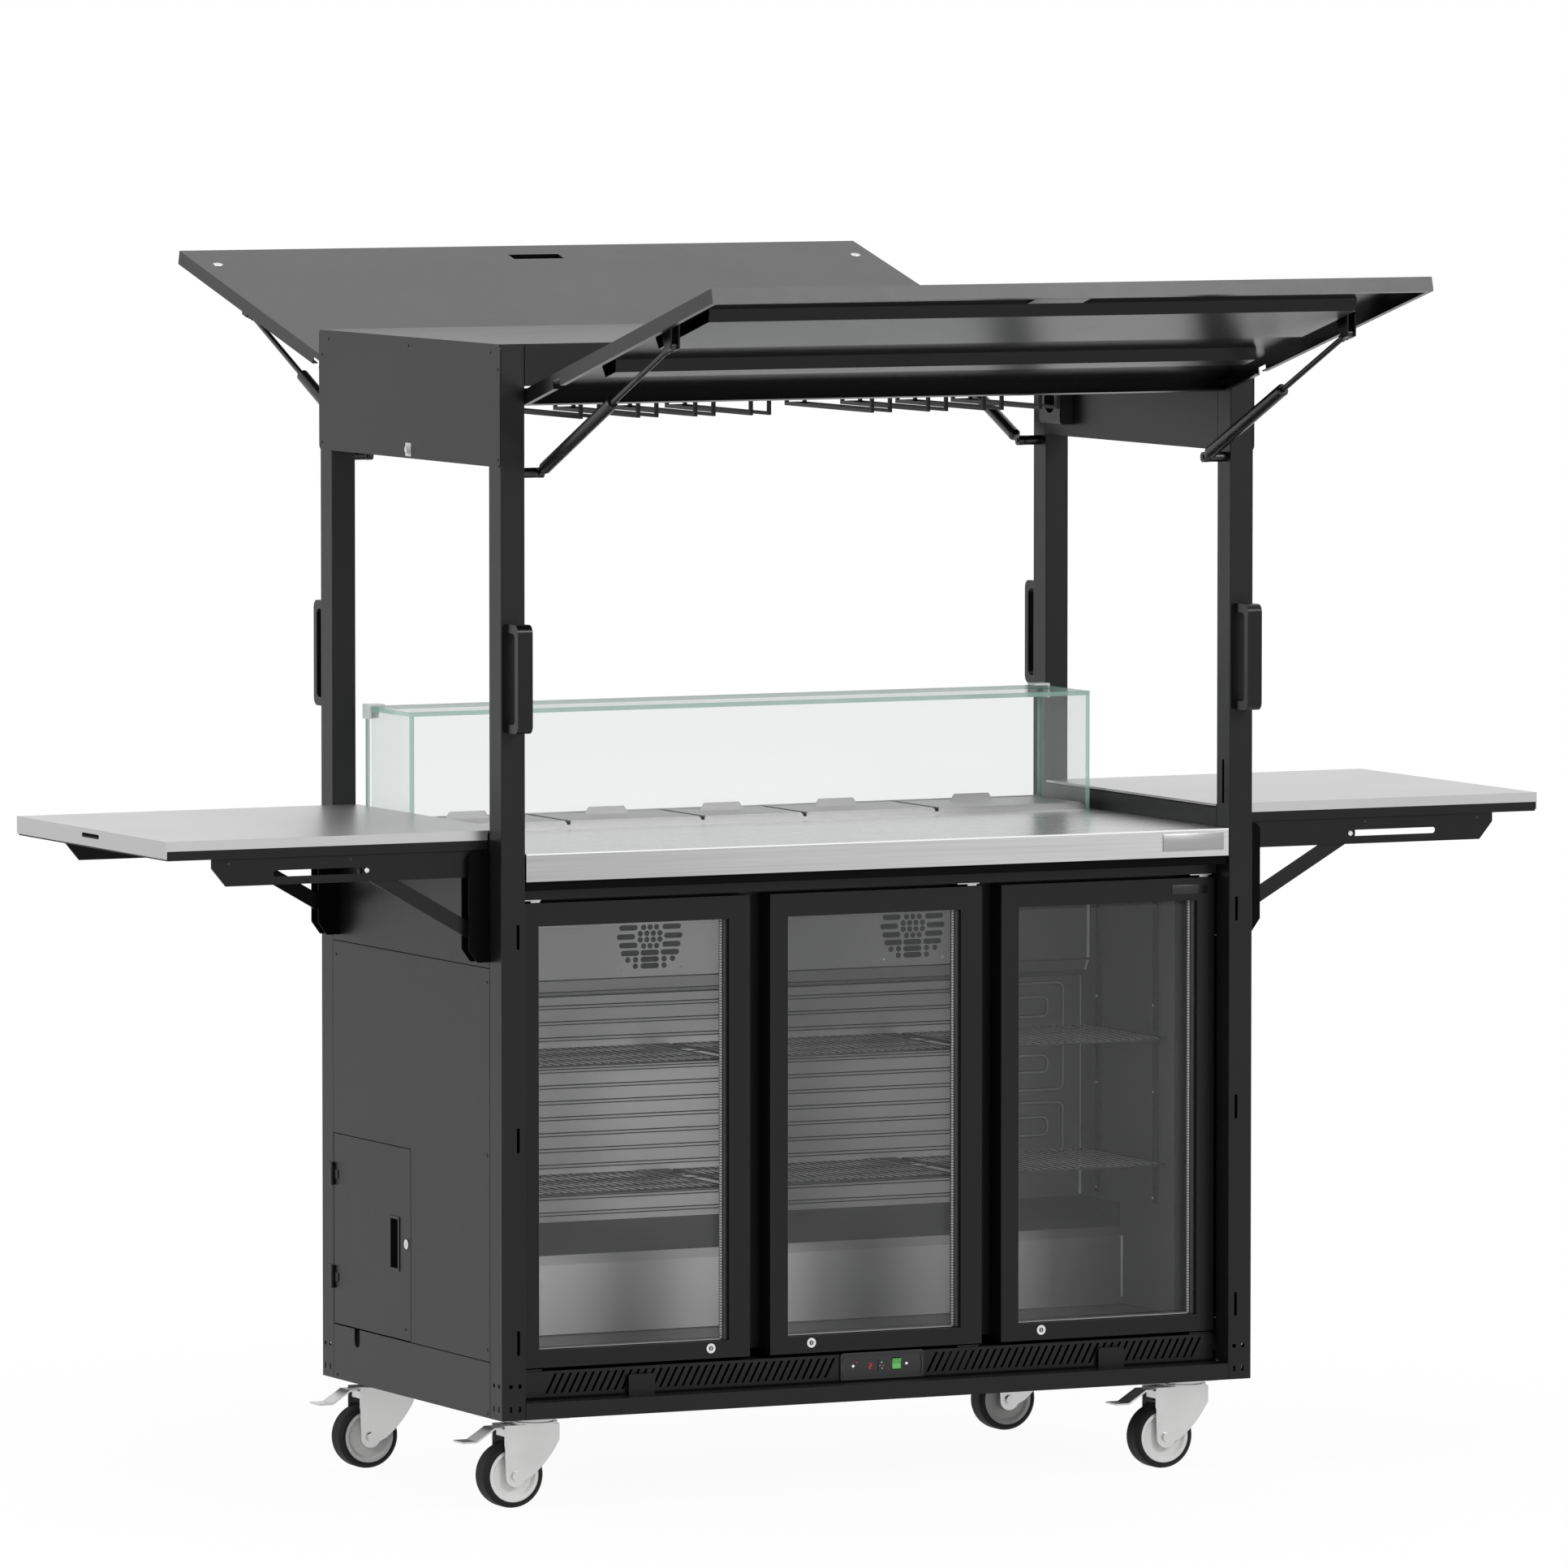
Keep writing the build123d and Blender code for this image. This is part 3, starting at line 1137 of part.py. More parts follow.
def door_frame(index):
    """Frame of one door, round its glass opening."""
    left, right = door_edges[index]
    glass_left, glass_right = glass_edges[index]
    hinge_side = door_hinge_sides[index]
    pin_x = (left if hinge_side < 0 else right) - hinge_side * hinge_inset
    pin_y = door_front + hinge_inset
    free_x = right if hinge_side < 0 else left
    height = door_high - door_low
    middle = ((left + right) / 2, (door_low + door_high) / 2)
    glass_middle = ((glass_left + glass_right) / 2, (glass_low + glass_high) / 2)
    glass_width, glass_height = glass_right - glass_left, glass_high - glass_low
    with BuildSketch(Plane.XZ.offset(-door_rear)) as body:
        with Locations(middle):
            Rectangle(right - left, height)
        with Locations(glass_middle):
            Rectangle(glass_width, glass_height, mode=Mode.SUBTRACT)
    extrude(body.sketch, amount=door_rear - door_front)
    with BuildSketch(Plane.XZ.offset(-door_front - 6)) as rebate:
        with Locations(glass_middle):
            Rectangle(glass_width + 12, glass_height + 12)
    extrude(rebate.sketch, amount=-26.0, mode=Mode.SUBTRACT)
    with BuildSketch(Plane.XZ.offset(-cabinet_front)) as gasket:
        with Locations(middle):
            Rectangle(right - left - 2 * gasket_inset, height - 2 * gasket_inset)
            inner = 2 * (gasket_inset + gasket_width)
            Rectangle(right - left - inner, height - inner, mode=Mode.SUBTRACT)
    extrude(gasket.sketch, amount=cabinet_front - door_rear)
    round_z(pin_x, pin_y, 4.0, door_high - 1, trim_low - 0.4)
    round_z(pin_x, pin_y, 4.0, door_low + 1, door_low - 5.4)
    lock_hole = (door_front - 1, door_front + 5.5, Mode.SUBTRACT)
    round_y(lock_places[index], lock_height, lock_radius + seat, *lock_hole)
    step = free_x + hinge_side * 9
    grip = (door_rear - 12, door_rear - 6, grip_low, grip_high)
    block(min(free_x, step) - 0.5, max(free_x, step) + 0.5, *grip, Mode.SUBTRACT)


with BuildPart() as door_frame_1:
    door_frame(0)
door_frame_1.part.label = "door_frame_1"
export_step(door_frame_1.part, "parts/door_frame_1.step")

with BuildPart() as door_frame_2:
    door_frame(1)
door_frame_2.part.label = "door_frame_2"
export_step(door_frame_2.part, "parts/door_frame_2.step")

with BuildPart() as door_frame_3:
    door_frame(2)
door_frame_3.part.label = "door_frame_3"
export_step(door_frame_3.part, "parts/door_frame_3.step")


def door_glass(index):
    """Sealed double pane that fills the rebate of one door."""
    glass_left, glass_right = glass_edges[index]
    reach = 6 - glass_fit
    front = door_front + 6 + glass_fit
    rear = front + 26 - 2 * glass_fit
    block(glass_left - reach, glass_right + reach, front, rear, glass_low - reach, glass_high + reach)
    hollow = (front + 5, rear - 5, glass_low - reach + 12, glass_high + reach - 12)
    block(glass_left - reach + 12, glass_right + reach - 12, *hollow, Mode.SUBTRACT)


with BuildPart() as door_glass_1:
    door_glass(0)
door_glass_1.part.label = "door_glass_1"
export_step(door_glass_1.part, "parts/door_glass_1.step")

with BuildPart() as door_glass_2:
    door_glass(1)
door_glass_2.part.label = "door_glass_2"
export_step(door_glass_2.part, "parts/door_glass_2.step")

with BuildPart() as door_glass_3:
    door_glass(2)
door_glass_3.part.label = "door_glass_3"
export_step(door_glass_3.part, "parts/door_glass_3.step")


def door_lock(index):
    """Key cylinder with its collar and keyway."""
    place = lock_places[index]
    round_y(place, lock_height, lock_radius, door_front - 2.0, door_front + 5.2)
    keyway = (door_front - 3, door_front + 1, lock_height - 4, lock_height + 4)
    block(place - 1.2, place + 1.2, *keyway, Mode.SUBTRACT)


with BuildPart() as door_lock_1:
    door_lock(0)
door_lock_1.part.label = "door_lock_1"
export_step(door_lock_1.part, "parts/door_lock_1.step")

with BuildPart() as door_lock_2:
    door_lock(1)
door_lock_2.part.label = "door_lock_2"
export_step(door_lock_2.part, "parts/door_lock_2.step")

with BuildPart() as door_lock_3:
    door_lock(2)
door_lock_3.part.label = "door_lock_3"
export_step(door_lock_3.part, "parts/door_lock_3.step")

# Castors: top plates with their swivel races, under the gussets of the base
with BuildPart() as castor_plates:
    with Locations(*[(sx * castor_x, sy * castor_y, frame_bottom - 2.5) for sx, sy in corner_signs]):
        Box(96.0, 84.0, 5.0)
    with Locations(*[(sx * castor_x, sy * castor_y, frame_bottom - 7.5) for sx, sy in corner_signs]):
        Cylinder(33.0, 6.0)
castor_plates.part.label = "castor_plates"
export_step(castor_plates.part, "parts/castor_plates.step")


def castor_fork(x, y):
    """Swivel fork: raced crown, two pressed cheeks that reach back to the axle, and the axle bolt."""
    round_z(x, y, 40.0, 143.0, frame_bottom - 10.5 - seat)
    for cheek in (tread_width / 2 + 3, -tread_width / 2 - 3 - fork_wall):
        with BuildSketch(Plane.XZ.offset(-(y + cheek))) as side:
            with BuildLine():
                heel = (x - wheel_back - 18, axle_height - 6)
                toe = (x - wheel_back + 17, axle_height - 8.5)
                Polyline(heel, (x - 68, 92.0), (x - 68, 144.0), (x + 35, 144.0))
                Line((x + 35, 144.0), (x + 35, 116.0))
                ThreePointArc((x + 35, 116.0), (x + 15, 86.0), (x - 18, 54.0))
                Line((x - 18, 54.0), toe)
                ThreePointArc(toe, (x - wheel_back, axle_height - 19), heel)
            make_face()
        extrude(side.sketch, amount=-fork_wall)
    half = tread_width / 2 + 3
    block(x - 34, x + 35, y - half, y + half, 141.0, 144.0)
    block(x + 32, x + 35, y - half, y + half, 116.0, 144.0)
    axle_x = x - wheel_back
    round_y(axle_x, axle_height, 4.0, y - half - fork_wall - 4, y + half + fork_wall + 4)
    for side in side_signs:
        outer = y + side * (half + fork_wall)
        round_y(axle_x, axle_height, 8.0, min(outer, outer + side * 5), max(outer, outer + side * 5))
    for side in side_signs:
        wall = y + side * half
        round_y(x - 40, 133.0, 3.0, min(wall, wall - side * 6.5), max(wall, wall - side * 6.5))


def castor_wheel(x, y):
    """Wheel: dished hub with a bore, and a rounded tyre as a second solid."""
    axle_x = x - wheel_back
    half = tread_width / 2
    with BuildSketch(Plane.YZ.offset(axle_x)) as hub:
        with BuildLine():
            Polyline(
                (y - half + 0.5, axle_height + 4.0 + 0.1),
                (y - half - 1.5, axle_height + 12.0),
                (y - half + 6.0, axle_height + 15.0),
                (y - half + 6.0, axle_height + hub_radius - 11),
                (y - half + 1.0, axle_height + hub_radius - 6),
                (y - half + 1.0, axle_height + hub_radius),
                (y + half - 1.0, axle_height + hub_radius),
                (y + half - 1.0, axle_height + hub_radius - 6),
                (y + half - 6.0, axle_height + hub_radius - 11),
                (y + half - 6.0, axle_height + 15.0),
                (y + half + 1.5, axle_height + 12.0),
                (y + half - 0.5, axle_height + 4.0 + 0.1),
                close=True,
            )
        make_face()
    revolve(hub.sketch, axis=Axis((axle_x, y, axle_height), (0, 1, 0)))
    with BuildSketch(Plane.YZ.offset(axle_x)) as tyre:
        with BuildLine():
            Polyline(
                (y - half, axle_height + hub_radius + 0.2),
                (y - half, axle_height + 51.0),
                (y - half + 5.0, axle_height + wheel_radius - 0.8),
                (y - half + 10.0, axle_height + wheel_radius),
                (y + half - 10.0, axle_height + wheel_radius),
                (y + half - 5.0, axle_height + wheel_radius - 0.8),
                (y + half, axle_height + 51.0),
                (y + half, axle_height + hub_radius + 0.2),
                close=True,
            )
        make_face()
    revolve(tyre.sketch, axis=Axis((axle_x, y, axle_height), (0, 1, 0)))


def castor_pedal(x, y):
    """Brake pedal: bent plate over the wheel with a block that presses on the tread."""
    half = tread_width / 2 - 1
    with BuildSketch(Plane.XZ.offset(-(y + half))) as plate:
        with BuildLine():
            Polyline(
                (x - 36, 137.5),
                (x - 84, 137.5),
                (x - 118, 116.0),
                (x - 144, 116.0),
                (x - 144, 119.0),
                (x - 119, 119.0),
                (x - 85, 140.5),
                (x - 36, 140.5),
                close=True,
            )
        make_face()
    extrude(plate.sketch, amount=2 * half)
    with BuildSketch(Plane.XZ.offset(-(y + half - 3))) as shoe:
        with BuildLine():
            Polyline(
                (x - 34, 138.0),
                (x - 64, 138.0),
                (x - 64, 124.0),
                (x - 52, 116.5),
                (x - 34, 128.0),
                close=True,
            )
        make_face()
    extrude(shoe.sketch, amount=2 * half - 6)
    for side in side_signs:
        near, far = y + side * (half - 3), y + side * half
        block(x - 47, x - 33, near, far, 127.0, 138.0)
        round_y(x - 40, 133.0, 3.0 + turning_gap, near, far + side, Mode.SUBTRACT)

with BuildPart() as fork_front_left:
    castor_fork(-castor_x, -castor_y)
fork_front_left.part.label = "fork_front_left"
export_step(fork_front_left.part, "parts/fork_front_left.step")

with BuildPart() as fork_front_right:
    castor_fork(castor_x, -castor_y)
fork_front_right.part.label = "fork_front_right"
export_step(fork_front_right.part, "parts/fork_front_right.step")

with BuildPart() as fork_rear_left:
    castor_fork(-castor_x, castor_y)
fork_rear_left.part.label = "fork_rear_left"
export_step(fork_rear_left.part, "parts/fork_rear_left.step")

with BuildPart() as fork_rear_right:
    castor_fork(castor_x, castor_y)
fork_rear_right.part.label = "fork_rear_right"
export_step(fork_rear_right.part, "parts/fork_rear_right.step")

with BuildPart() as wheel_front_left:
    castor_wheel(-castor_x, -castor_y)
wheel_front_left.part.label = "wheel_front_left"
export_step(wheel_front_left.part, "parts/wheel_front_left.step")

with BuildPart() as wheel_front_right:
    castor_wheel(castor_x, -castor_y)
wheel_front_right.part.label = "wheel_front_right"
export_step(wheel_front_right.part, "parts/wheel_front_right.step")

with BuildPart() as wheel_rear_left:
    castor_wheel(-castor_x, castor_y)
wheel_rear_left.part.label = "wheel_rear_left"
export_step(wheel_rear_left.part, "parts/wheel_rear_left.step")

with BuildPart() as wheel_rear_right:
    castor_wheel(castor_x, castor_y)
wheel_rear_right.part.label = "wheel_rear_right"
export_step(wheel_rear_right.part, "parts/wheel_rear_right.step")

with BuildPart() as pedal_front_left:
    castor_pedal(-castor_x, -castor_y)
pedal_front_left.part.label = "pedal_front_left"
export_step(pedal_front_left.part, "parts/pedal_front_left.step")

with BuildPart() as pedal_front_right:
    castor_pedal(castor_x, -castor_y)
pedal_front_right.part.label = "pedal_front_right"
export_step(pedal_front_right.part, "parts/pedal_front_right.step")

with BuildPart() as pedal_rear_left:
    castor_pedal(-castor_x, castor_y)
pedal_rear_left.part.label = "pedal_rear_left"
export_step(pedal_rear_left.part, "parts/pedal_rear_left.step")

with BuildPart() as pedal_rear_right:
    castor_pedal(castor_x, castor_y)
pedal_rear_right.part.label = "pedal_rear_right"
export_step(pedal_rear_right.part, "parts/pedal_rear_right.step")
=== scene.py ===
import math

import bmesh
import bpy
from mathutils import Matrix, Vector


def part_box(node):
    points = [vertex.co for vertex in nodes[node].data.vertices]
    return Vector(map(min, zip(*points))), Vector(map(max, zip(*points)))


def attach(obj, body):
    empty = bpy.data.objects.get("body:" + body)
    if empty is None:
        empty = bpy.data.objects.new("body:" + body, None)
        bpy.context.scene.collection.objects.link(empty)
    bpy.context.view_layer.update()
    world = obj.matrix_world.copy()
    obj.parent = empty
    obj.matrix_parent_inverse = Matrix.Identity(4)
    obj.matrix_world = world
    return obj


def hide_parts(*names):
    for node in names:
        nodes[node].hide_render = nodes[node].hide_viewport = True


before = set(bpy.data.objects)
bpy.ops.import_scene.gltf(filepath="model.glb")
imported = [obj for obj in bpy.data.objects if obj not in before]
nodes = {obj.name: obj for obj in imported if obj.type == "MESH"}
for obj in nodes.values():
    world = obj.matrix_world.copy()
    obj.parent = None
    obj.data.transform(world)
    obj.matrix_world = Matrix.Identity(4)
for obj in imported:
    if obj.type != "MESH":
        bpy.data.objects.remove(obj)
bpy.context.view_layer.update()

# Sizes of the station that the dressing follows, in millimetres as in the model
MM = 0.001
SIDES = (-1, 1)
half_width = 725.0

# Worktop: half length of its front lip, and where the lip ends and the painted highlight along its
# fold begins
lip_half_x, lip_face, lip_top = 677.0, -378.5, 1130.2
fold_highlight_front, fold_highlight_low = -377.5, 1128.6

# Glass canopy
glass_half_x, glass_front, glass_rear = 666.0, 130.0, 320.0
glass_top, glass_foot, glass_edge = 1343.0, 1133.5, 8.0

# Cooler doors and their panes, from left to right, and the holes of their spacer strips
door_front = -334.0
glass_edges = ((-634.0, -272.0), (-159.0, 176.0), (289.0, 640.0))
glass_low, glass_high = 271.0, 1002.0
holes_per_metre = 210.0

# Inside of the cooler: wire shelves, rear wall, machine step, floor
shelf_heights = (530.0, 752.0)
shelf_bays = ((-631.0, -230.0), (-195.0, 218.0), (254.0, 631.0))
shelf_front, shelf_rear = -235.0, 57.0
liner_back, liner_side, seam_side = 108.0, 636.6, 636.0
step_low, step_high, step_front, step_rear = 387.0, 441.5, -46.5, 107.5
floor_top = 262.5
fan_centres = (-230.4, 284.9)

# Ribs of the rear wall, where its painted shade steps darker from bay to bay behind the mullions,
# and the width over which each step fades
ribs_middle, ribs_end, bay_shade_fade = -58.0, 400.0, 98.0
rib_low, rib_gap, rib_tall, rib_count = 450.0, 28.0, 7.4, 14
# Width of the painted shade along each rib's creases
rib_crease_shade = 1.9

# Folding shelves: underside of the steel, its end, and the bar that carries it
sheet_low, sheet_end = 1153.2, 1322.5
shelf_bar_face, shelf_bolt_x = 322.0, 951.0

# Side headers: face and height of the cam lock, and the lock's half size
lock_face_x, lock_height, lock_reach = 726.6, 1808.0, 11.5

# Roof flaps, open
flap_axis_y, flap_axis_z, flap_reach, flap_skin = -372.0, 1916.0, 768.0, 8.0
flap_tilt = math.radians(14.8)

# Castors: where each one stands along X, and its wheel behind the swivel
castor_places = {
    "front_left": -630.0,
    "front_right": 630.0,
    "rear_left": -630.0,
    "rear_right": 630.0,
}
wheel_back, axle_height, hub_radius = 48.0, 56.5, 46.1

# Radius and height pairs of the small turned heads
screw_head = ((0.0, 1.6), (1.5, 1.5), (2.7, 0.9), (3.0, 0.0), (0.0, 0.0))
fan_screw_head = ((0.0, 1.2), (1.6, 1.1), (2.8, 0.5), (3.0, 0.0), (0.0, 0.0))
bolt_head = ((0.0, 3.6), (3.4, 3.5), (4.6, 2.4), (4.8, 0.0), (0.0, 0.0))
pin_head = ((0.0, 1.0), (1.8, 0.9), (2.6, 0.3), (2.7, 0.0), (0.0, 0.0))
keyhole_disc = ((0.0, 0.35), (3.9, 0.3), (4.2, 0.0), (0.0, 0.0))
cover_cap = ((0.0, 1.6), (7.0, 1.5), (9.0, 0.8), (9.5, -0.5), (0.0, -0.5))

# Faces that meet at more than this angle keep a sharp edge
crease_angle = math.radians(35.0)

# The floor reaches far past the view, in metres
floor_radius = 40.0


def tint(red, green=None, blue=None):
    """A colour as it looks on a screen, from 0 to 255, as the light that a shader wants."""
    green = red if green is None else green
    blue = red if blue is None else blue
    scaled = [value / 255 for value in (red, green, blue)]
    light = [v / 12.92 if v <= 0.04045 else ((v + 0.055) / 1.055) ** 2.4 for v in scaled]
    return (*light, 1.0)


class Wire:
    """One output of a node. Arithmetic on it adds Math nodes to its finish."""

    def __init__(self, finish, socket):
        self.finish = finish
        self.socket = socket

    def math(self, operation, *values):
        return self.finish.node("ShaderNodeMath", {"operation": operation}, *values)

    def __add__(self, other):
        return self.math("ADD", self, other)

    def __radd__(self, other):
        return self.math("ADD", other, self)

    def __sub__(self, other):
        return self.math("SUBTRACT", self, other)

    def __rsub__(self, other):
        return self.math("SUBTRACT", other, self)

    def __mul__(self, other):
        return self.math("MULTIPLY", self, other)

    def __rmul__(self, other):
        return self.math("MULTIPLY", other, self)

    def __truediv__(self, other):
        return self.math("DIVIDE", self, other)

    def __pow__(self, other):
        return self.math("POWER", self, other)

    def __gt__(self, other):
        return self.math("GREATER_THAN", self, other)

    def __lt__(self, other):
        return self.math("LESS_THAN", self, other)

    def size(self):
        return self.math("ABSOLUTE", self)


class Finish:
    """One finish of the station: a Principled surface and the nodes that vary it."""

    def __init__(self, name, **steady):
        self.material = bpy.data.materials.new(name)
        self.material.use_nodes = True
        self.tree = self.material.node_tree
        self.surface = self.tree.nodes["Principled BSDF"]
        self.output = self.tree.nodes["Material Output"]
        for socket, value in steady.items():
            self.surface.inputs[socket.replace("_", " ")].default_value = value
        self.spot = self.node("ShaderNodeTexCoord", out="Object")

    def node(self, kind, settings=None, *values, out=0, **named):
        """Adds a node, with its inputs given in their order or by name."""
        made = self.tree.nodes.new(kind)
        for setting, value in (settings or {}).items():
            setattr(made, setting, value)
        for place, value in enumerate(values):
            self.feed(made.inputs[place], value)
        for socket, value in named.items():
            self.feed(made.inputs[socket.replace("_", " ")], value)
        return Wire(self, made.outputs[out])

    def feed(self, socket, value):
        """Links a wire to a socket, or sets the socket to a constant."""
        if isinstance(value, Wire):
            self.tree.links.new(value.socket, socket)
        elif value is not None:
            socket.default_value = value

    def set(self, **sockets):
        """Feeds inputs of the Principled surface by name."""
        for socket, value in sockets.items():
            self.feed(self.surface.inputs[socket.replace("_", " ")], value)

    def axes(self):
        """The place on the object along X, Y and Z, in metres."""
        split = self.tree.nodes.new("ShaderNodeSeparateXYZ")
        self.tree.links.new(self.spot.socket, split.inputs[0])
        return [Wire(self, socket) for socket in split.outputs]

    def noise(self, scale, detail=2.0, stretch=(1, 1, 1), rough=0.5):
        """Soft noise from 0 to 1, finer along an axis where its stretch is larger."""
        grid = self.node("ShaderNodeMapping", None, self.spot, None, None, stretch)
        texture = {"Vector": grid, "Scale": scale, "Detail": detail, "Roughness": rough}
        return self.node("ShaderNodeTexNoise", None, **texture)

    def blend(self, share, first, second):
        """One colour passing into another by a share from 0 to 1."""
        inputs = (share, None, None, None, None, None, first, second)
        return self.node("ShaderNodeMix", {"data_type": "RGBA"}, *inputs, out=2)

    def relief(self, height, strength, distance):
        """Fine unevenness of the surface, by a bump of its normals."""
        bump = {"Height": height, "Strength": strength, "Distance": distance}
        self.set(Normal=self.node("ShaderNodeBump", None, **bump))

    def inside(self, low, high):
        """1 inside a box given in millimetres and 0 outside it."""
        share = 1.0
        for axis, start, stop in zip(self.axes(), low, high):
            middle, reach = (start + stop) / 2 * MM, (stop - start) / 2 * MM
            share = ((axis - middle).size() < reach) * share
        return share


def powder_coat(name, dark=(13, 13, 14), light=(18, 18, 19), polish=0.33):
    """Powder-coated sheet steel: near black, with a fine orange-peel skin and faint rubs."""
    finish = Finish(name, Specular_IOR_Level=0.24)
    skin = finish.noise(420, 2.0)
    cloud = finish.noise(5.0, 3.0)
    rubs_and_glint = finish.noise(38.0, 4.0, rough=0.6)
    finish.set(Base_Color=finish.blend(cloud, tint(*dark), tint(*light)))
    finish.set(Roughness=polish - 0.04 + 0.06 * cloud + 0.05 * rubs_and_glint)
    finish.relief(skin, 0.08, 0.0004)
    return finish


def brushed_steel(name, along, dark=186, light=200, polish=0.24):
    """Stainless sheet, brushed in fine lines along one axis."""
    finish = Finish(name, Metallic=1.0)
    stretch = [520.0, 520.0, 520.0]
    stretch["XYZ".index(along)] = 3.0
    hair = finish.noise(1.0, 3.0, stretch)
    stretch = [60.0, 60.0, 60.0]
    stretch["XYZ".index(along)] = 1.2
    band = finish.noise(1.0, 2.0, stretch)
    tone = finish.blend(0.5 * hair + 0.5 * band, tint(dark), tint(light))
    finish.set(Base_Color=tone, Roughness=polish + 0.10 * hair + 0.06 * band)
    finish.relief(hair, 0.05, 0.0002)
    return finish


def worktop_finish():
    """Worktop sheet: its front lip is brushed duller than the top and has painted shade that
    darkens it towards the left, with a painted highlight along the fold above it.
    """
    finish = brushed_steel("worktop_steel", "X", 196, 210, 0.22)
    x, y, z = finish.axes()
    lip = (y < lip_face * MM) * (z < lip_top * MM)
    hair = finish.noise(1.0, 3.0, (2.0, 400.0, 400.0))
    band = finish.noise(1.6, 2.0, (1.0, 8.0, 8.0))
    tops = finish.blend(0.5 * hair + 0.5 * band, tint(203), tint(217))
    grain = 0.7 * hair + 0.3 * band
    # Painted shade: the lip darkens towards its left end
    lip_left_shade = finish.blend(grain, tint(144), tint(184))
    lip_right_light = finish.blend(grain, tint(168), tint(214))
    front = finish.blend((x + lip_half_x * MM) / (2 * lip_half_x * MM), lip_left_shade, lip_right_light)
    # Painted highlight along the bend between the lip and the top
    fold_highlight = (y < fold_highlight_front * MM) * (z > fold_highlight_low * MM)
    tops = finish.blend(fold_highlight, tops, tint(236))
    finish.set(Base_Color=finish.blend(lip * (1 - fold_highlight), tops, front))
    finish.set(Roughness=0.22 + 0.1 * hair + 0.08 * lip)
    return finish


def satin_metal(name, dark, light, polish, grain=90.0):
    """Zinc-plated or aluminium parts: a soft blotchy sheen with fine scratches."""
    finish = Finish(name, Metallic=1.0)
    blotch = finish.noise(grain, 3.0)
    scratch = finish.noise(900.0, 2.0)
    finish.set(Base_Color=finish.blend(blotch, tint(*dark), tint(*light)))
    finish.set(Roughness=polish - 0.05 + 0.10 * blotch + 0.04 * scratch)
    finish.relief(scratch, 0.04, 0.0002)
    return finish


def moulded(name, dark, light, polish=0.4, grain=300.0, shine=0.5):
    """Moulded plastic or rubber with a fine grain."""
    finish = Finish(name, Specular_IOR_Level=shine)
    cloud = finish.noise(18.0, 3.0)
    texture = finish.noise(grain, 2.0)
    finish.set(Base_Color=finish.blend(cloud, tint(*dark), tint(*light)))
    finish.set(Roughness=polish - 0.05 + 0.08 * cloud + 0.05 * texture)
    finish.relief(texture, 0.1, 0.0003)
    return finish


def see_through(finish, clear, veil):
    """Mixes clear glass with the finish's surface: veil is how much of the surface shows."""
    tree = finish.tree
    window = tree.nodes.new("ShaderNodeBsdfTransparent")
    window.inputs[0].default_value = clear
    mixer = tree.nodes.new("ShaderNodeMixShader")
    tree.links.new(window.outputs[0], mixer.inputs[1])
    tree.links.new(finish.surface.outputs[0], mixer.inputs[2])
    finish.feed(mixer.inputs[0], veil)
    tree.links.new(mixer.outputs[0], finish.output.inputs["Surface"])


def canopy_glass():
    """Clear float glass whose cut edges look green."""
    finish = Finish("canopy_glass", Specular_IOR_Level=0.5)
    x, y, z = finish.axes()
    near_side = x.size() > (glass_half_x - glass_edge) * MM
    near_front = y < (glass_front + 3) * MM
    near_rear = y > (glass_rear - glass_edge) * MM
    near_top = z > (glass_top - glass_edge) * MM
    near_foot = z < glass_foot * MM
    joints = (near_side + near_front + near_rear + near_top + near_foot) > 1.5
    dust = finish.noise(60.0, 3.0)
    sheen = finish.node("ShaderNodeLayerWeight", None, 0.35, out="Fresnel")
    finish.set(Base_Color=finish.blend(joints, tint(238, 241, 240), tint(146, 182, 172)))
    finish.set(Roughness=0.03 + 0.05 * dust)
    veil = joints * 0.72 + (1 - joints) * (0.03 + 0.22 * sheen)
    see_through(finish, tint(248, 249, 248.6), veil)
    return finish


def door_pane():
    """Double glazing of the cooler doors: clear, with the faint mirror of its four faces."""
    finish = Finish("door_pane", Metallic=1.0)
    smear = finish.noise(9.0, 3.0)
    sheen = finish.node("ShaderNodeLayerWeight", None, 0.2, out="Fresnel")
    finish.set(Base_Color=finish.blend(smear, tint(236, 238, 238), tint(246, 247, 247)))
    finish.set(Roughness=0.03 + 0.04 * smear)
    see_through(finish, tint(249), 0.012 + 0.22 * sheen)
    return finish


def bay_shade_share(x, begin):
    """How far the rear wall's painted shade has passed into the next bay's darker shade, from
    where its fade begins.
    """
    return (x - begin * MM) / (bay_shade_fade * MM)


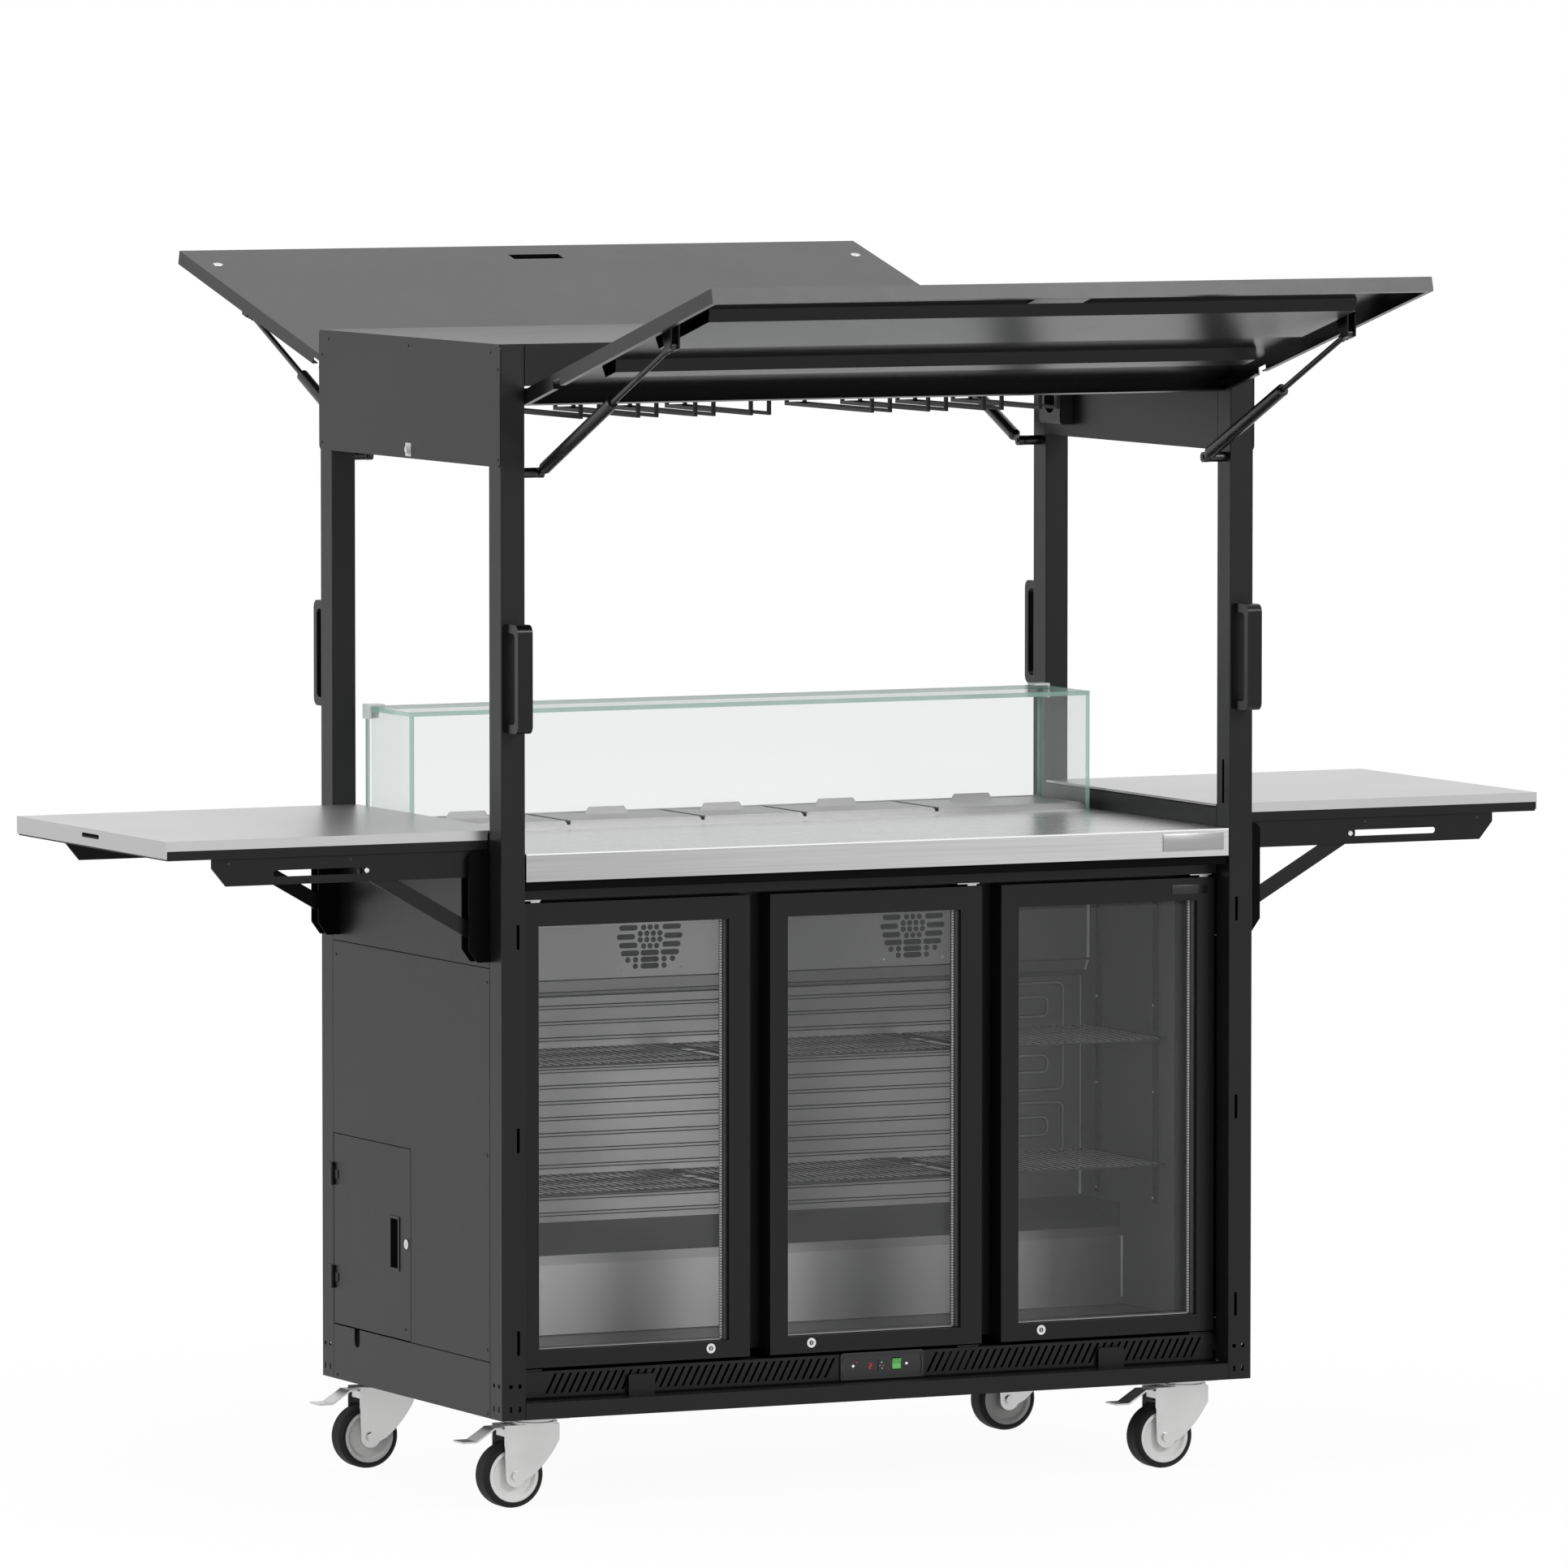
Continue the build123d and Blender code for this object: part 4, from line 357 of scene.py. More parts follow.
def liner_finish():
    """Pale sheet of the cooler's inside with painted shade: darker in each bay to the right, on
    the step's top and on the floor; rougher on the step's top.
    """
    finish = Finish("liner_sheet", Metallic=0.25)
    x, y, z = finish.axes()
    cloud = finish.noise(2.4, 2.0)
    drawn = finish.noise(30.0, 2.0)
    # Painted shade: a light tone for the left bay and darker ones for the bays to its right
    left_bay_lit = finish.blend(cloud, tint(216), tint(226))
    middle_bay_shaded = finish.blend(cloud, tint(168), tint(177))
    right_bay_shaded = finish.blend(cloud, tint(106), tint(114))
    tone = finish.blend(bay_shade_share(x, ribs_middle), left_bay_lit, middle_bay_shaded)
    tone = finish.blend(bay_shade_share(x, ribs_end), tone, right_bay_shaded)
    # Painted shade on the step's top and on the cooler's floor, both darker than the walls
    step_top_shaded = (z > step_low * MM) * (z < step_high * MM)
    step_top_shaded = step_top_shaded * (y > step_front * MM) * (y < step_rear * MM)
    tone = finish.blend(step_top_shaded, tone, tint(84))
    finish.set(Base_Color=finish.blend(z < floor_top * MM, tone, tint(74)))
    finish.set(Roughness=0.42 + 0.08 * drawn + 0.1 * step_top_shaded)
    return finish


def wire_finish():
    """Coated shelf wires: painted shade on their sides and a painted highlight along their tops.
    """
    finish = Finish("shelf_wire", Specular_IOR_Level=0.1, Roughness=0.5)
    z = finish.axes()[2]
    rubs_and_glint = finish.noise(14.0, 2.0)
    tops = 0.0
    for level in shelf_heights:
        tops = ((z - (level - 0.1) * MM).size() < 0.75 * MM) + tops
    # Painted highlight along the wires' tops, painted shade on their sides
    finish.set(Base_Color=finish.blend(tops, tint(50), finish.blend(rubs_and_glint, tint(196), tint(222))))
    return finish


def rib_finish():
    """Pressed ribs of the rear wall: a crest with painted highlight between two creases of painted
    shade, following the rear wall's painted shade from bay to bay.
    """
    finish = Finish("liner_ribs", Specular_IOR_Level=0.2)
    x, _, z = finish.axes()
    turn = (z - (rib_low - rib_gap / 2 + rib_tall / 2) * MM) / (rib_gap * MM)
    place = (turn.math("FRACT", turn) - 0.5).size()
    # Painted shade along the rib's two creases and a slightly lighter painted highlight on its
    # crest
    crease_shade = place > (rib_tall / 2 - rib_crease_shade) / rib_gap
    worn = finish.noise(24.0, 2.0)
    crest_highlight = finish.blend(bay_shade_share(x, ribs_middle), tint(222), tint(174))
    finish.set(Base_Color=finish.blend(crease_shade, crest_highlight, tint(46)), Roughness=0.55 + 0.1 * worn)
    return finish


def wheel_finish(name, swivel_x):
    """Light grey hub inside a black tyre, told apart by the distance from the axle."""
    finish = Finish("wheel_" + name, Specular_IOR_Level=0.25)
    x, _, z = finish.axes()
    across = x - (swivel_x - wheel_back) * MM
    upright = z - axle_height * MM
    hub = (across * across + upright * upright) < (hub_radius * MM) ** 2
    dust = finish.noise(70.0, 4.0)
    rubber = finish.blend(dust, tint(5, 5, 5), tint(12, 12, 12))
    plastic = finish.blend(dust, tint(204, 204, 203), tint(216, 216, 215))
    finish.set(Base_Color=finish.blend(hub, rubber, plastic))
    finish.set(Roughness=0.66 - 0.26 * hub + 0.08 * dust)
    finish.relief(dust, 0.15, 0.0006)
    return finish


def lamp(name, light, glow):
    """A lit plastic face, its colour and glow mottled by fine noise."""
    finish = Finish(name, Roughness=0.35, Emission_Strength=glow)
    bloom = finish.noise(260.0, 2.0)
    dull, less_bright = (tint(*[value * share for value in light]) for share in (0.8, 0.9))
    finish.set(Base_Color=finish.blend(bloom, tint(*light), dull))
    finish.set(Emission_Color=finish.blend(bloom, tint(*light), less_bright))
    return finish


coat = powder_coat("powder_coat")
coat_smooth = powder_coat("powder_coat_smooth", (12, 12, 13), (16, 16, 17), 0.24)
worktop_steel = worktop_finish()
lid_steel = brushed_steel("lid_steel", "X", 150, 172, 0.3)
zinc = satin_metal("zinc_plate", (180, 180, 180), (212, 212, 211), 0.28, 9.0)
bright = satin_metal("bright_plate", (206, 206, 206), (224, 224, 224), 0.25)
liner_metal = liner_finish()
rib_metal = rib_finish()
rail_metal = moulded("shelf_rail", (44, 45, 46), (54, 55, 56), 0.5, shine=0.2)
wire_metal = wire_finish()
rim_metal = moulded("shelf_rim", (58, 59, 60), (68, 69, 70), 0.6, shine=0.15)
rack_paint = powder_coat("rack_paint", (12, 12, 13), (17, 17, 18), 0.3)
gloss_black = moulded("strut_black", (10, 10, 11), (15, 15, 16), 0.26)
plastic_black = moulded("plastic_black", (15, 15, 16), (21, 21, 22), 0.42)
plate_metal = brushed_steel("plate_metal", "X", 150, 164, 0.22)
# Dark grey that stands only for shade: painted shade in the fan guards' openings and along folds
# and creases
shade_grey = moulded("painted_shade_grey", (62, 63, 64), (74, 75, 76), 0.6, shine=0.1)
# Header channels coated darker than the rest of the frame: painted shade of the open front flap
header_shade_coat = powder_coat("header_shade_coat", (4, 4, 5), (8, 8, 9), 0.3)
door_coat = powder_coat("door_coat", (10, 10, 12), (14, 14, 16), 0.3)
# Near-black that stands only for shade: painted shade on the shelf brackets, and strips of painted
# shade in gaps
shade_black = moulded("shade_black", (2, 2, 2), (5, 5, 5), 0.6, shine=0.05)
clear_plastic = moulded("corner_plastic", (206, 212, 210), (222, 226, 225), 0.2)
canopy = canopy_glass()
pane = door_pane()
red_light = lamp("display_red", (206, 44, 46), 0.8)
green_light = lamp("rocker_green", (92, 172, 90), 0.25)
bezel_grey = moulded("bezel_rim", (50, 50, 52), (62, 62, 64), 0.35)
white_mark = moulded("white_mark", (214, 214, 214), (230, 230, 230), 0.5)


def cabinet_finish():
    """Black cabinet with a metal inside and bright upper hinge plates."""
    finish = powder_coat("cabinet_coat")
    plates = finish.inside((-680, -332, 1046.3), (680, -292, 1048.3))
    cavity = finish.inside((-641, -249, 250), (641, 120, 1020))
    shade = finish.blend(plates, tint(16), tint(206))
    shade = finish.blend(cavity, shade, tint(150))
    finish.set(Base_Color=shade, Metallic=plates + 0.25 * cavity)
    return finish


def shelf_finish():
    """Folding shelf: brushed steel above, black ladder frame below."""
    finish = brushed_steel("folding_shelf", "Y")
    x, _, z = finish.axes()
    black = (z < sheet_low * MM) * (x.size() < sheet_end * MM)
    finish.set(Specular_IOR_Level=0.22)
    tone = finish.blend(finish.noise(4.0), tint(178), tint(190))
    hair = finish.noise(1.0, 3.0, (520.0, 3.0, 520.0))
    finish.set(Base_Color=finish.blend(black, tone, tint(10)), Metallic=1 - black)
    finish.set(Roughness=0.28 + 0.1 * hair + 0.1 * black)
    return finish


def side_header_finish():
    """Coated side headers with the silver barrel of a cam lock in the middle of each."""
    finish = powder_coat("side_header_coat")
    x, y, z = finish.axes()
    barrel = (x.size() > lock_face_x * MM) * (y.size() < lock_reach * MM)
    barrel = barrel * ((z - lock_height * MM).size() < lock_reach * MM)
    finish.set(Base_Color=finish.blend(barrel, tint(16), tint(200)), Metallic=barrel)
    return finish


def dress(finish, *names):
    """Gives nodes of the model their finish."""
    for name in names:
        slots = nodes[name].material_slots
        for slot in slots:
            slot.material = finish.material
        if not slots:
            nodes[name].data.materials.append(finish.material)


dress(coat, "corner_posts", "frame_rails", "roof_panel", "left_panels", "fixed_panels")
dress(coat, "service_door", "vent_grille", "left_stay_arms", "right_stay_arms")
# Shelf brackets in near-black: painted shade under the folding shelves
dress(shade_black, "shelf_brackets")
dress(door_coat, "door_frame_1", "door_frame_2", "door_frame_3")
dress(header_shade_coat, "header_channels")
dress(coat_smooth, "front_flap", "rear_flap", "pull_handles")
dress(rack_paint, "stemware_racks")
dress(worktop_steel, "worktop")
dress(lid_steel, "topping_well", "topping_pans", "pan_lids")
dress(gloss_black, "front_cylinders", "rear_cylinders", "front_rods", "rear_rods", "strut_studs")
dress(plastic_black, "socket_box", "control_panel")
dress(bright, "service_lock", "door_lock_1", "door_lock_2", "door_lock_3")
dress(liner_metal, "cooler_liner")
dress(rail_metal, "shelf_rails")
dress(canopy, "glass_cover")
dress(clear_plastic, "glass_clips")
dress(green_light, "rocker_switch")
dress(pane, "door_glass_1", "door_glass_2", "door_glass_3")
for name, swivel_x in castor_places.items():
    dress(zinc, "fork_" + name, "pedal_" + name)
    dress(wheel_finish(name, swivel_x), "wheel_" + name)
dress(zinc, "castor_plates")
dress(side_header_finish(), "side_headers")
dress(cabinet_finish(), "cooler_cabinet")
dress(shelf_finish(), "left_shelf", "right_shelf")


def bar(shape, low, high, rounding=0.0, segments=2):
    """A rectangular bar between two corners, with rounded edges."""
    low, high = Vector(low), Vector(high)
    corners = bmesh.ops.create_cube(shape, size=1.0)["verts"]
    bmesh.ops.scale(shape, vec=high - low, verts=corners)
    bmesh.ops.translate(shape, vec=(low + high) / 2, verts=corners)
    if rounding:
        edges = list({edge for corner in corners for edge in corner.link_edges})
        bmesh.ops.bevel(
            shape,
            geom=edges,
            offset=rounding,
            offset_type="OFFSET",
            segments=segments,
            profile=0.5,
            affect="EDGES",
            material=-1,
        )


def rod(shape, start, end, radius, sides=8, tip=None):
    """A round rod between two points, thinner at its end where a tip radius is given."""
    start, end = Vector(start), Vector(end)
    run = end - start
    turn = run.to_track_quat("Z", "Y").to_matrix().to_4x4()
    bmesh.ops.create_cone(
        shape,
        cap_ends=True,
        segments=sides,
        radius1=radius,
        radius2=radius if tip is None else tip,
        depth=run.length,
        matrix=Matrix.Translation((start + end) / 2) @ turn,
    )


def turned(shape, profile, foot, axis, steps=20):
    """A turned form: radius and height pairs spun round an axis that starts at foot."""
    blank = bmesh.new()
    ring = [blank.verts.new((radius, 0, height)) for radius, height in profile]
    edges = [blank.edges.new(pair) for pair in zip(ring, ring[1:])]
    bmesh.ops.spin(
        blank,
        geom=ring + edges,
        cent=(0, 0, 0),
        axis=(0, 0, 1),
        dvec=(0, 0, 0),
        angle=2 * math.pi,
        steps=steps,
        use_merge=True,
    )
    bmesh.ops.remove_doubles(blank, verts=blank.verts, dist=1e-4)
    bmesh.ops.recalc_face_normals(blank, faces=blank.faces)
    turn = Vector(axis).to_track_quat("Z", "Y").to_matrix().to_4x4()
    bmesh.ops.transform(blank, matrix=Matrix.Translation(Vector(foot)) @ turn, verts=blank.verts)
    spare = bpy.data.meshes.new("spare")
    blank.to_mesh(spare)
    blank.free()
    shape.from_mesh(spare)
    bpy.data.meshes.remove(spare)


def piece(name, body, finish, shape):
    """Turns a shape modelled in millimetres into a named piece that rides on a body."""
    bmesh.ops.scale(shape, vec=(MM, MM, MM), verts=shape.verts)
    mesh = bpy.data.meshes.new(name)
    shape.to_mesh(mesh)
    shape.free()
    made = bpy.data.objects.new(name, mesh)
    bpy.context.scene.collection.objects.link(made)
    mesh.materials.append(finish.material)
    mesh.polygons.foreach_set("use_smooth", [True] * len(mesh.polygons))
    mesh.set_sharp_from_angle(angle=crease_angle)
    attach(made, body)
    return made


def wire_shelves():
    """Real wire shelves: a rim and cross wires, and fine wires running front to back."""
    rims, shape = bmesh.new(), bmesh.new()
    for level in shelf_heights:
        for left, right in shelf_bays:
            rim = level - 2.5
            for y in (shelf_front + 2.5, shelf_rear - 2.5):
                rod(rims, (left + 1, y, rim), (right - 1, y, rim), 2.4)
            for x in (left + 2.5, right - 2.5):
                rod(rims, (x, shelf_front + 1, rim), (x, shelf_rear - 1, rim), 2.4)
            for share in (0.33, 0.67):
                y = shelf_front + share * (shelf_rear - shelf_front)
                rod(rims, (left + 3, y, rim - 0.8), (right - 3, y, rim - 0.8), 1.8)
            count = round((right - left) / 16.0)
            for i in range(1, count):
                x, z = left + (right - left) * i / count, level - 1.2
                rod(shape, (x, shelf_front + 1, z), (x, shelf_rear - 1, z), 1.3, 8)
    wires = piece("shelf_wires", "station", wire_metal, shape)
    rim_wires = piece("shelf_rims", "station", rim_metal, rims)
    for made in (wires, rim_wires):
        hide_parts("wire_shelves")


def liner_ribs():
    """Ribs of the two left bays, lines of painted shade along the fan housing's folds, and painted
    highlights on the right side's rounded corners.
    """
    shape = bmesh.new()
    for i in range(rib_count):
        z = rib_low + rib_gap * i
        top = z + rib_tall
        bar(shape, (-seam_side, liner_back - 1.6, z), (ribs_end, liner_back + 1, top), 1.0, 2)
    piece("liner_ribs", "station", rib_metal, shape)
    shape = bmesh.new()
    # Painted shade along the fan housing's folds
    for y, z in ((73.4, 868.4), (86.0, 846.5), (106.9, 837.0)):
        rod(shape, (-seam_side, y, z), (seam_side, y, z), 1.3)
    piece("housing_fold_shade", "station", shade_grey, shape)
    shape = bmesh.new()
    # Painted highlights on the rounded corners of the right side wall
    side = liner_side
    rod(shape, (side - 2, 74, 870), (side - 2, 74, 1008), 3.2)
    rod(shape, (side - 2, 75, 866), (side - 2, 86, 848), 2.6)
    rod(shape, (side, 106.6, 443), (side, 106.6, 836), 1.0)
    rod(shape, (side - 1, 105.6, 444), (side - 1, 105.6, 512), 2.4)
    rod(shape, (side - 2, -58.6, 275), (side - 2, -58.6, 384), 3.0)
    piece("corner_highlights", "station", corner_highlight, shape)


def rounded_run(shape, points, corner, radius):
    """A half-sunk tube that follows points on the rear wall, with rounded corners."""
    path = [Vector(points[0])]
    for before, at, after in zip(points, points[1:], points[2:]):
        before, at, after = Vector(before), Vector(at), Vector(after)
        start = at + (before - at).normalized() * corner
        stop = at + (after - at).normalized() * corner
        for i in range(6):
            share = i / 5
            path.append(start.lerp(at, share).lerp(at.lerp(stop, share), share))
    path.append(Vector(points[-1]))
    for start, end in zip(path, path[1:]):
        rod(shape, start, end, radius)


def serpentine():
    """Embossed winding channel of the evaporator plate on the rear wall of the right bay: a pale
    tube of painted highlight inside a wider dark tube of painted shade.
    """
    shape, crease_shade = bmesh.new(), bmesh.new()
    open_end, corner = ribs_end + 14, 13.0
    loops = (
        (601.4, 632.9, 824.4),
        (570.4, 764.7, 800.0),
        (570.4, 664.7, 695.3),
        (601.4, 520.0, 610.1),
        (570.4, 551.9, 584.1),
    )
    for right, low, high in loops:
        path = ((open_end, low), (right, low), (right, high), (open_end, high))
        for run, wall, radius in ((shape, liner_back - 1.0, 2.2), (crease_shade, liner_back + 1.2, 3.6)):
            rounded_run(run, [(x, wall, z) for x, z in path], corner, radius)
    piece("rear_embossing", "station", embossing_highlight, shape)
    piece("rear_crease_shade", "station", shade_grey, crease_shade)


def tablet(shape, x, z, long, tall, front, rear):
    """Dark pad of painted shade shaped as an opening of the fan guard: a slot with round ends, or
    a hole where long equals tall.
    """
    ends = sorted({x - (long - tall) / 2, x + (long - tall) / 2})
    for end in ends:
        rod(shape, (end, front, z), (end, rear, z), tall / 2, 16)
    if len(ends) > 1:
        bar(shape, (ends[0], front, z - tall / 2), (ends[1], rear, z + tall / 2))


def fan_guards():
    """Dark pads of painted shade where the two fan guards of the housing are pierced, in place of
    the model's covers, with their screws.
    """
    slots = {
        971.0: (-38.8, 0, 36.8),
        956.0: (-42, 42),
        940.0: (-47, 45),
        925.0: (-42.5, 41.5),
        911.0: (-39, -0.7, 38.3),
        899.4: (-0.8,),
        888.0: (-0.8,),
    }
    holes = {
        956.0: (-12.6, 0, 12.6),
        945.0: (-19, -6.3, 6.3, 19),
        934.0: (-19, -6.3, 6.3, 19),
        923.0: (-12.6, 0, 12.6),
        899.4: (-43.3, -28.4, 27.1, 43.6),
        888.0: (-28.7, 27.1),
    }
    shape, silver = bmesh.new(), bmesh.new()
    front, rear = 72.6, 73.6
    for middle in fan_centres:
        for rows, long, tall in ((slots, 35.5, 9.6), (holes, 10.0, 10.0)):
            for z, places in rows.items():
                for x in places:
                    tablet(shape, middle + x, z, long, tall, front, rear)
        for x in (-57, 59):
            turned(silver, fan_screw_head, (middle + x, 73.0, 882.5), (0, -1, 0), 12)
    made = piece("fan_guards", "station", shade_grey, shape)
    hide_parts("fan_covers")
    piece("fan_screws", "station", bright, silver)


def door_trim(number, left, right):
    """Spacer strips of a door's glass: right, foot and left, with a dark gap at the far right."""
    front, rear, low, high = -321.5, -308.5, glass_low, glass_high
    shape = bmesh.new()
    bar(shape, (right - 10.6, front, low + 1), (right - 7.6, front + 5, high - 1), 0.4, 1)
    bar(shape, (left + 1, front, low + 0.6), (right - 11, rear, low + 3.4), 0.4, 1)
    bar(shape, (left + 0.2, front, low + 4), (left + 1.4, rear, high - 1), 0.2, 1)
    body = f"door_{number}"
    piece(f"glass_spacer_{number}", body, spacer, shape)
    shape = bmesh.new()
    bar(shape, (right - 7.5, -327.2, low + 0.5), (right + 0.5, -309, high - 0.5), 0.4, 1)
    piece(f"glass_shadow_gap_{number}", body, plastic_black, shape)


def spacer_strip():
    """Light grey spacer bar with a row of small breathing holes."""
    finish = Finish("spacer_strip", Metallic=0.15)
    place = finish.axes()[2] * holes_per_metre
    row = place.math("FRACT", place)
    dust = finish.noise(40.0, 2.0)
    hole = (row - 0.5).size() < 0.2
    pale = finish.blend(dust, tint(202), tint(214))
    finish.set(Base_Color=finish.blend(hole, pale, tint(104)), Roughness=0.45 + 0.15 * hole)
    return finish


spacer = spacer_strip()
# Painted highlight on the embossed channel, lighter than the right bay's wall
embossing_highlight = moulded("embossed_channel_highlight", (150, 151, 152), (166, 167, 168), 0.4)
# Pale grey for painted highlights on the cooler's rounded corners
corner_highlight = moulded("corner_highlight", (206, 207, 208), (222, 223, 224), 0.4)
wire_shelves()
liner_ribs()
serpentine()
fan_guards()
for number, (left, right) in enumerate(glass_edges, 1):
    door_trim(number, left, right)


def display_marks():
    """Seven-segment digit, key arrows and the mark on the rocker."""
    digit = bmesh.new()
    wide, tall, half_stroke, left, foot, y = 4.4, 8.0, 0.85 / 2, -2.55, 208.2, -335.3
    strokes = ((0, 0, 1, 0), (0, 1, 1, 1), (0, 2, 1, 2), (1, 1, 1, 2), (0, 0, 0, 1))
    for from_x, from_z, to_x, to_z in strokes:
        low_z = foot + from_z * tall / 2 - half_stroke
        high_z = foot + to_z * tall / 2 + half_stroke
        low = (left + from_x * wide - half_stroke, y - 0.4, low_z)
        high = (left + to_x * wide + half_stroke, y, high_z)
        bar(digit, low, high, 0.15, 1)
    bar(digit, (-27.0, y - 0.4, 218.7), (-25.2, y, 220.4), 0.2, 1)
    bar(digit, (22.6, -336.9, 211.6), (25.6, -336.4, 212.6), 0.1, 1)
    piece("display_digit", "station", red_light, digit)
    keys = bmesh.new()
    x, y = 21.4, -337.3
    for z, way in ((218.4, 1), (207.0, -1)):
        rod(keys, (x, y, z - way * 1.3), (x, y, z + way * 1.5), 1.8, 3, 0.1)
    bar(keys, (16.4, -336.9, 211.8), (19.0, -336.4, 212.5), 0.1, 1)
    piece("key_marks", "station", white_mark, keys)
    rim = bmesh.new()
    outline = ((-53, 191.4), (97, 191.4), (99.4, 210.7), (97, 230), (-53, 230), (-56, 210.7))
    ring = [(x, -338.0, z) for x, z in outline]
    for start, end in zip(ring, ring[1:] + ring[:1]):
        rod(rim, start, end, 0.7, 6)
    piece("bezel_rim", "station", bezel_grey, rim)


def screws():
    """Pan-head screws: bezel, shelf uprights, shelf bars, panels and headers."""
    silver = bmesh.new()
    for x in (-34.4, 69.0):
        turned(silver, screw_head, (x, -336.4, 213.0), (0, -1, 0))
    piece("bezel_screws", "station", bright, silver)
    silver = bmesh.new()
    for y, levels in ((38.8, (461.8, 650.1, 804.5)), (-178.8, (462.2, 650.4, 804.5))):
        for z in levels:
            turned(silver, screw_head, (633.6, y, z), (-1, 0, 0), 12)
    piece("rail_screws", "station", bright, silver)
    for name, side in (("left", -1), ("right", 1)):
        steel = bmesh.new()
        for front in SIDES:
            spot = (side * shelf_bolt_x, front * shelf_bar_face, 1109.0)
            turned(steel, bolt_head, spot, (0, front, 0), 14)
        piece(f"{name}_stay_bolts", f"{name}_shelf", bright, steel)
        black = bmesh.new()
        for front in SIDES:
            for x in (shelf_bolt_x + 30, shelf_bolt_x + 256):
                spot = (side * x, front * shelf_bar_face, 1128.5)
                turned(black, pin_head, spot, (0, front, 0), 12)
        piece(f"{name}_shelf_screws", f"{name}_shelf", plastic_black, black)
    dark = bmesh.new()
    panel_spots = (
        (-318, 908),
        (318, 908),
        (-318, 610),
        (-318, 275),
        (25, 275),
        (-318, 165),
        (318, 165),
    )
    for y, z in panel_spots:
        turned(dark, screw_head, (-half_width, y, z), (-1, 0, 0), 14)
    header_spots = (
        (-340, 1988),
        (0, 1988),
        (340, 1988),
        (-370, 1960),
        (370, 1960),
        (-370, 1806),
        (370, 1806),
    )
    for y, z in header_spots:
        for side in SIDES:
            turned(dark, screw_head, (side * (half_width + 2), y, z), (side, 0, 0), 14)
    piece("panel_screws", "station", plastic_black, dark)


def lock_faces():
    """Dark keyhole disc with its bright key slot on each door lock."""
    for number in range(1, 4):
        lock = f"door_lock_{number}"
        low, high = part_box(lock)
        x, z = (low[0] + high[0]) / 2 / MM, (low[2] + high[2]) / 2 / MM
        face = low[1] / MM
        disc, key_slot = bmesh.new(), bmesh.new()
        turned(disc, keyhole_disc, (x, face + 0.05, z), (0, -1, 0), 20)
        bar(key_slot, (x - 0.8, face - 0.6, z - 2.6), (x + 0.8, face - 0.2, z + 2.6), 0.15, 1)
        piece(f"lock_disc_{number}", lock, plastic_black, disc)
        piece(f"key_slot_{number}", lock, bright, key_slot)


def flap_at(along, across):
    """Y and Z of a point of the open front flap, from its hinge: along the flap and out of it."""
    cosine, sine = math.cos(flap_tilt), math.sin(flap_tilt)
    y = flap_axis_y - along * cosine + across * sine
    z = flap_axis_z + along * sine + across * cosine
    return y, z


def flap_caps(side, body):
    """Round cover caps near the outer corners of a flap."""
    shape = bmesh.new()
    y, z = flap_at(flap_reach - 90, flap_skin)
    normal = (0, -side * math.sin(flap_tilt), math.cos(flap_tilt))
    for end in SIDES:
        turned(shape, cover_cap, (end * 640, -side * y, z), normal)
    piece(f"{body}_caps", body, bright, shape)


def bare_plates():
    """Two plain plates: one on the worktop lip, one on the right door."""
    shape = bmesh.new()
    bar(shape, (548, -382.0, 1094), (668, -379.8, 1124), 0.9)
    piece("lip_plate", "station", plate_metal, shape)
    shape = bmesh.new()
    bar(shape, (590, door_front - 1.2, 1014), (660, door_front + 0.2, 1030), 0.5)
    piece("door_plate", "door_3", gloss_black, shape)


def shade_strips_and_stops():
    """Near-black strips of painted shade under the worktop's lip and behind the bottom rail, and
    the hinge stops.
    """
    shape = bmesh.new()
    bar(shape, (-lip_half_x, -374.0, 1067.3), (lip_half_x, -371.5, 1083.6), 0.4, 1)
    bar(shape, (-lip_half_x, -339.9, 182.6), (lip_half_x, -334.1, 189.7), 0.4, 1)
    piece("painted_shade_strips", "station", shade_black, shape)
    shape = bmesh.new()
    for x in (-638.8, 199.3, 655.2):
        bar(shape, (x - 9, -331.0, 1042.6), (x + 9, -325.0, 1046.2), 0.5, 1)
    piece("hinge_stops", "station", bright, shape)


shade_strips_and_stops()
display_marks()
screws()
lock_faces()
flap_caps(-1, "front_flap")
flap_caps(1, "rear_flap")
bare_plates()


def studio():
    """White room: its walls show to the camera and in gloss, and light the station evenly."""
    world = bpy.data.worlds.new("studio")
    bpy.context.scene.world = world
    world.use_nodes = True
    tree = world.node_tree
    wall = tree.nodes["Background"]
    path = tree.nodes.new("ShaderNodeLightPath")
    seen = path.outputs["Is Camera Ray"]
    for output in ("Is Glossy Ray", "Is Transmission Ray"):
        most = tree.nodes.new("ShaderNodeMath")
        most.operation = "MAXIMUM"
        tree.links.new(seen, most.inputs[0])
        tree.links.new(path.outputs[output], most.inputs[1])
        seen = most.outputs[0]
    level = tree.nodes.new("ShaderNodeMapRange")
    level.inputs["To Min"].default_value = 0.6
    level.inputs["To Max"].default_value = 1.0
    tree.links.new(seen, level.inputs["Value"])
    tree.links.new(level.outputs[0], wall.inputs["Strength"])
    wall.inputs["Color"].default_value = (1, 1, 1, 1)


def softbox(name, place, target, size, power):
    """A large square lamp turned towards a point of the station."""
    data = bpy.data.lights.new(name, "AREA")
    data.shape = "RECTANGLE"
    data.size, data.size_y = size
    data.energy = power
    lamp_object = bpy.data.objects.new(name, data)
    bpy.context.scene.collection.objects.link(lamp_object)
    lamp_object.location = place
    aim = Vector(target) - Vector(place)
    lamp_object.rotation_mode = "QUATERNION"
    lamp_object.rotation_quaternion = aim.to_track_quat("-Z", "Y")


